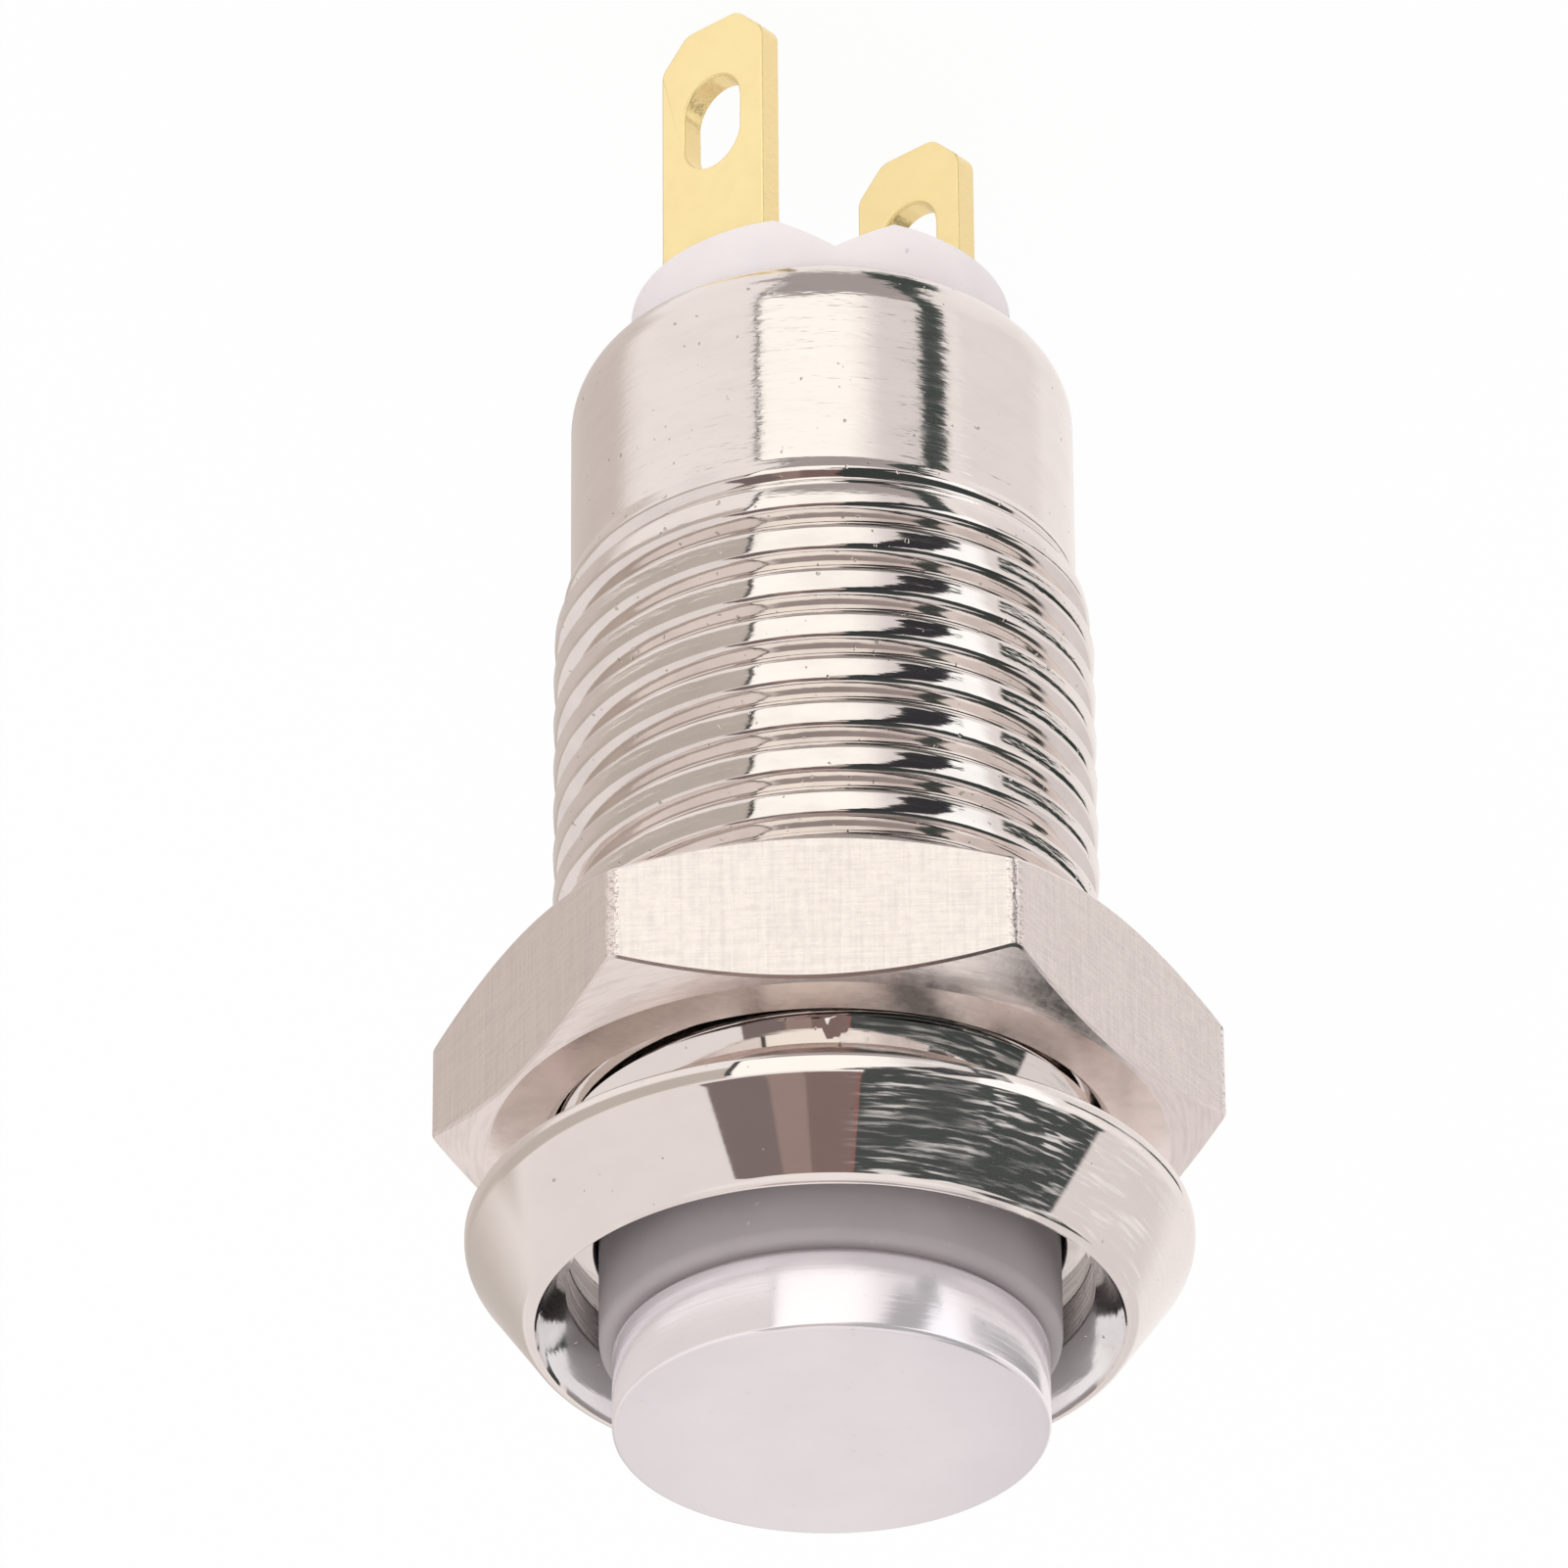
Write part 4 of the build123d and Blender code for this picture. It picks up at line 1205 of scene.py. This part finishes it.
class SWITCH_OT_base(bpy.types.Operator):
    """Builds the moulded base with its V groove"""

    bl_idname = "switch.base"
    bl_label = "Base"

    def execute(self, context):
        sizes = context.scene.switch_base
        tags = context.scene.switch_tags
        colour = tuple(context.scene.switch_finishes.base)
        white = moulded_finish("base_plastic", colour, 0.5, 0.95, glow=0.35)
        piece = new_piece("base_plug", make_base(sizes), "housing", (white,), "base")
        cutters = [groove_cutter(sizes)]
        thick = 0.5 * tags.thick + sizes.tag_play
        wide = 0.5 * tags.width + sizes.tag_play
        for middle in (tags.middle, -tags.middle):
            low = (middle - thick, -wide, sizes.face - MM)
            high = (middle + thick, wide, sizes.top + MM)
            cutters.append(block(low, high))
        cut_with(piece, cutters)
        round_edges(piece, sizes.edge)
        return {"FINISHED"}


class SWITCH_OT_tags(bpy.types.Operator):
    """Builds the two solder tags"""

    bl_idname = "switch.tags"
    bl_label = "Solder tags"

    def execute(self, context):
        sizes = context.scene.switch_tags
        gold = gold_finish(tuple(context.scene.switch_finishes.gold))
        for name, side in (("right", 1), ("left", -1)):
            piece = new_piece(
                f"solder_tag_{name}", make_tag(sizes, side), "housing", (gold,),
                f"terminal_{name}",
            )
            cut_with(piece, [slot_cutter(sizes, side)])
            round_edges(piece, sizes.edge)
        return {"FINISHED"}


class SWITCH_OT_springs(bpy.types.Operator):
    """Builds the two coil springs"""

    bl_idname = "switch.springs"
    bl_label = "Springs"

    def execute(self, context):
        sizes = context.scene.switch_springs
        steel = plain_metal("spring_wire", tuple(context.scene.switch_finishes.steel), 0.28)
        # Which spring, its body and joint, coil and wire radius, pitch, and which end stays put
        rows = (
            ("return", "housing", "button_press", sizes.return_coil, sizes.return_wire,
             sizes.return_pitch, 0),
            ("contact", "button", "bridge_float", sizes.contact_coil, sizes.contact_wire,
             sizes.contact_pitch, 1),
        )
        for which, body, joint_name, coil_r, wire_r, pitch, held in rows:
            node = f"{which}_spring"
            low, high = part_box(node)
            bm = make_coil(low.z + wire_r, high.z - wire_r, coil_r, wire_r, pitch)
            piece = new_piece(f"{which}_coil", bm, body, (steel,), node)
            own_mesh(piece)
        return {"FINISHED"}


class SWITCH_OT_inner_parts(bpy.types.Operator):
    """Gives the parts inside, which keep their CAD shapes, their finishes"""

    bl_idname = "switch.inner_parts"
    bl_label = "Inner parts"

    def execute(self, context):
        colours = context.scene.switch_finishes
        steel = plain_metal("stamped_steel", tuple(colours.steel), 0.30)
        silver = plain_metal("rivet_silver", tuple(colours.silver), 0.25)
        finishes = {
            "guide_sleeve": moulded_finish("liner_plastic", tuple(colours.liner), 0.45, 0.8),
            "cam_slider": moulded_finish("slider_plastic", tuple(colours.slider), 0.4, 0.93),
            "contact_bridge": plain_metal("bridge_brass", tuple(colours.brass), 0.30),
            "latch_pin": steel,
            "latch_leaf_spring": steel,
            "contact_retainer": steel,
        }
        for side in ("right", "left"):
            finishes[f"bridge_contact_{side}"] = silver
            finishes[f"fixed_contact_{side}"] = silver
        for node, finish in finishes.items():
            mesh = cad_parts[node].data
            mesh.materials.clear()
            mesh.materials.append(finish)
        return {"FINISHED"}


class SWITCH_OT_studio(bpy.types.Operator):
    """Builds the white room, the floor, the key lamp and the camera"""

    bl_idname = "switch.studio"
    bl_label = "Studio"

    def execute(self, context):
        settings = context.scene.switch_studio
        turn = settings.azimuth
        towards = Vector((sin(turn), -cos(turn), 0))
        right = Vector((-cos(turn), -sin(turn), 0))
        context.scene.view_settings.view_transform = "Standard"
        make_world(settings, towards, right)
        make_floor(settings)
        make_camera(settings, towards, right)
        make_key(settings, towards, right)
        return {"FINISHED"}


OPERATORS = (
    SWITCH_OT_studio, SWITCH_OT_housing, SWITCH_OT_nut, SWITCH_OT_button,
    SWITCH_OT_base, SWITCH_OT_tags, SWITCH_OT_springs, SWITCH_OT_inner_parts,
)
GROUPS = {
    "switch_housing": HousingSizes,
    "switch_thread": ThreadSizes,
    "switch_nut": NutSizes,
    "switch_button": ButtonSizes,
    "switch_base": BaseSizes,
    "switch_tags": TagSizes,
    "switch_springs": SpringSizes,
    "switch_finishes": Finishes,
    "switch_studio": StudioSettings,
}


class SWITCH_PT_panel(bpy.types.Panel):
    """Lists the pieces of the switch"""

    bl_idname = "SWITCH_PT_panel"
    bl_label = "Push Button Switch"
    bl_space_type = "VIEW_3D"
    bl_region_type = "UI"
    bl_category = "Switch"

    def draw(self, context):
        for operator in OPERATORS:
            self.layout.operator(operator.bl_idname)


def register():
    for name, group in GROUPS.items():
        bpy.utils.register_class(group)
        setattr(bpy.types.Scene, name, PointerProperty(type=group))
    for operator in OPERATORS:
        bpy.utils.register_class(operator)
    bpy.utils.register_class(SWITCH_PT_panel)


def unregister():
    bpy.utils.unregister_class(SWITCH_PT_panel)
    for operator in reversed(OPERATORS):
        bpy.utils.unregister_class(operator)
    for name, group in GROUPS.items():
        delattr(bpy.types.Scene, name)
        bpy.utils.unregister_class(group)


def main():
    register()
    for operator in OPERATORS:
        group, name = operator.bl_idname.split(".")
        getattr(getattr(bpy.ops, group), name)()


if __name__ == "__main__":
    main()
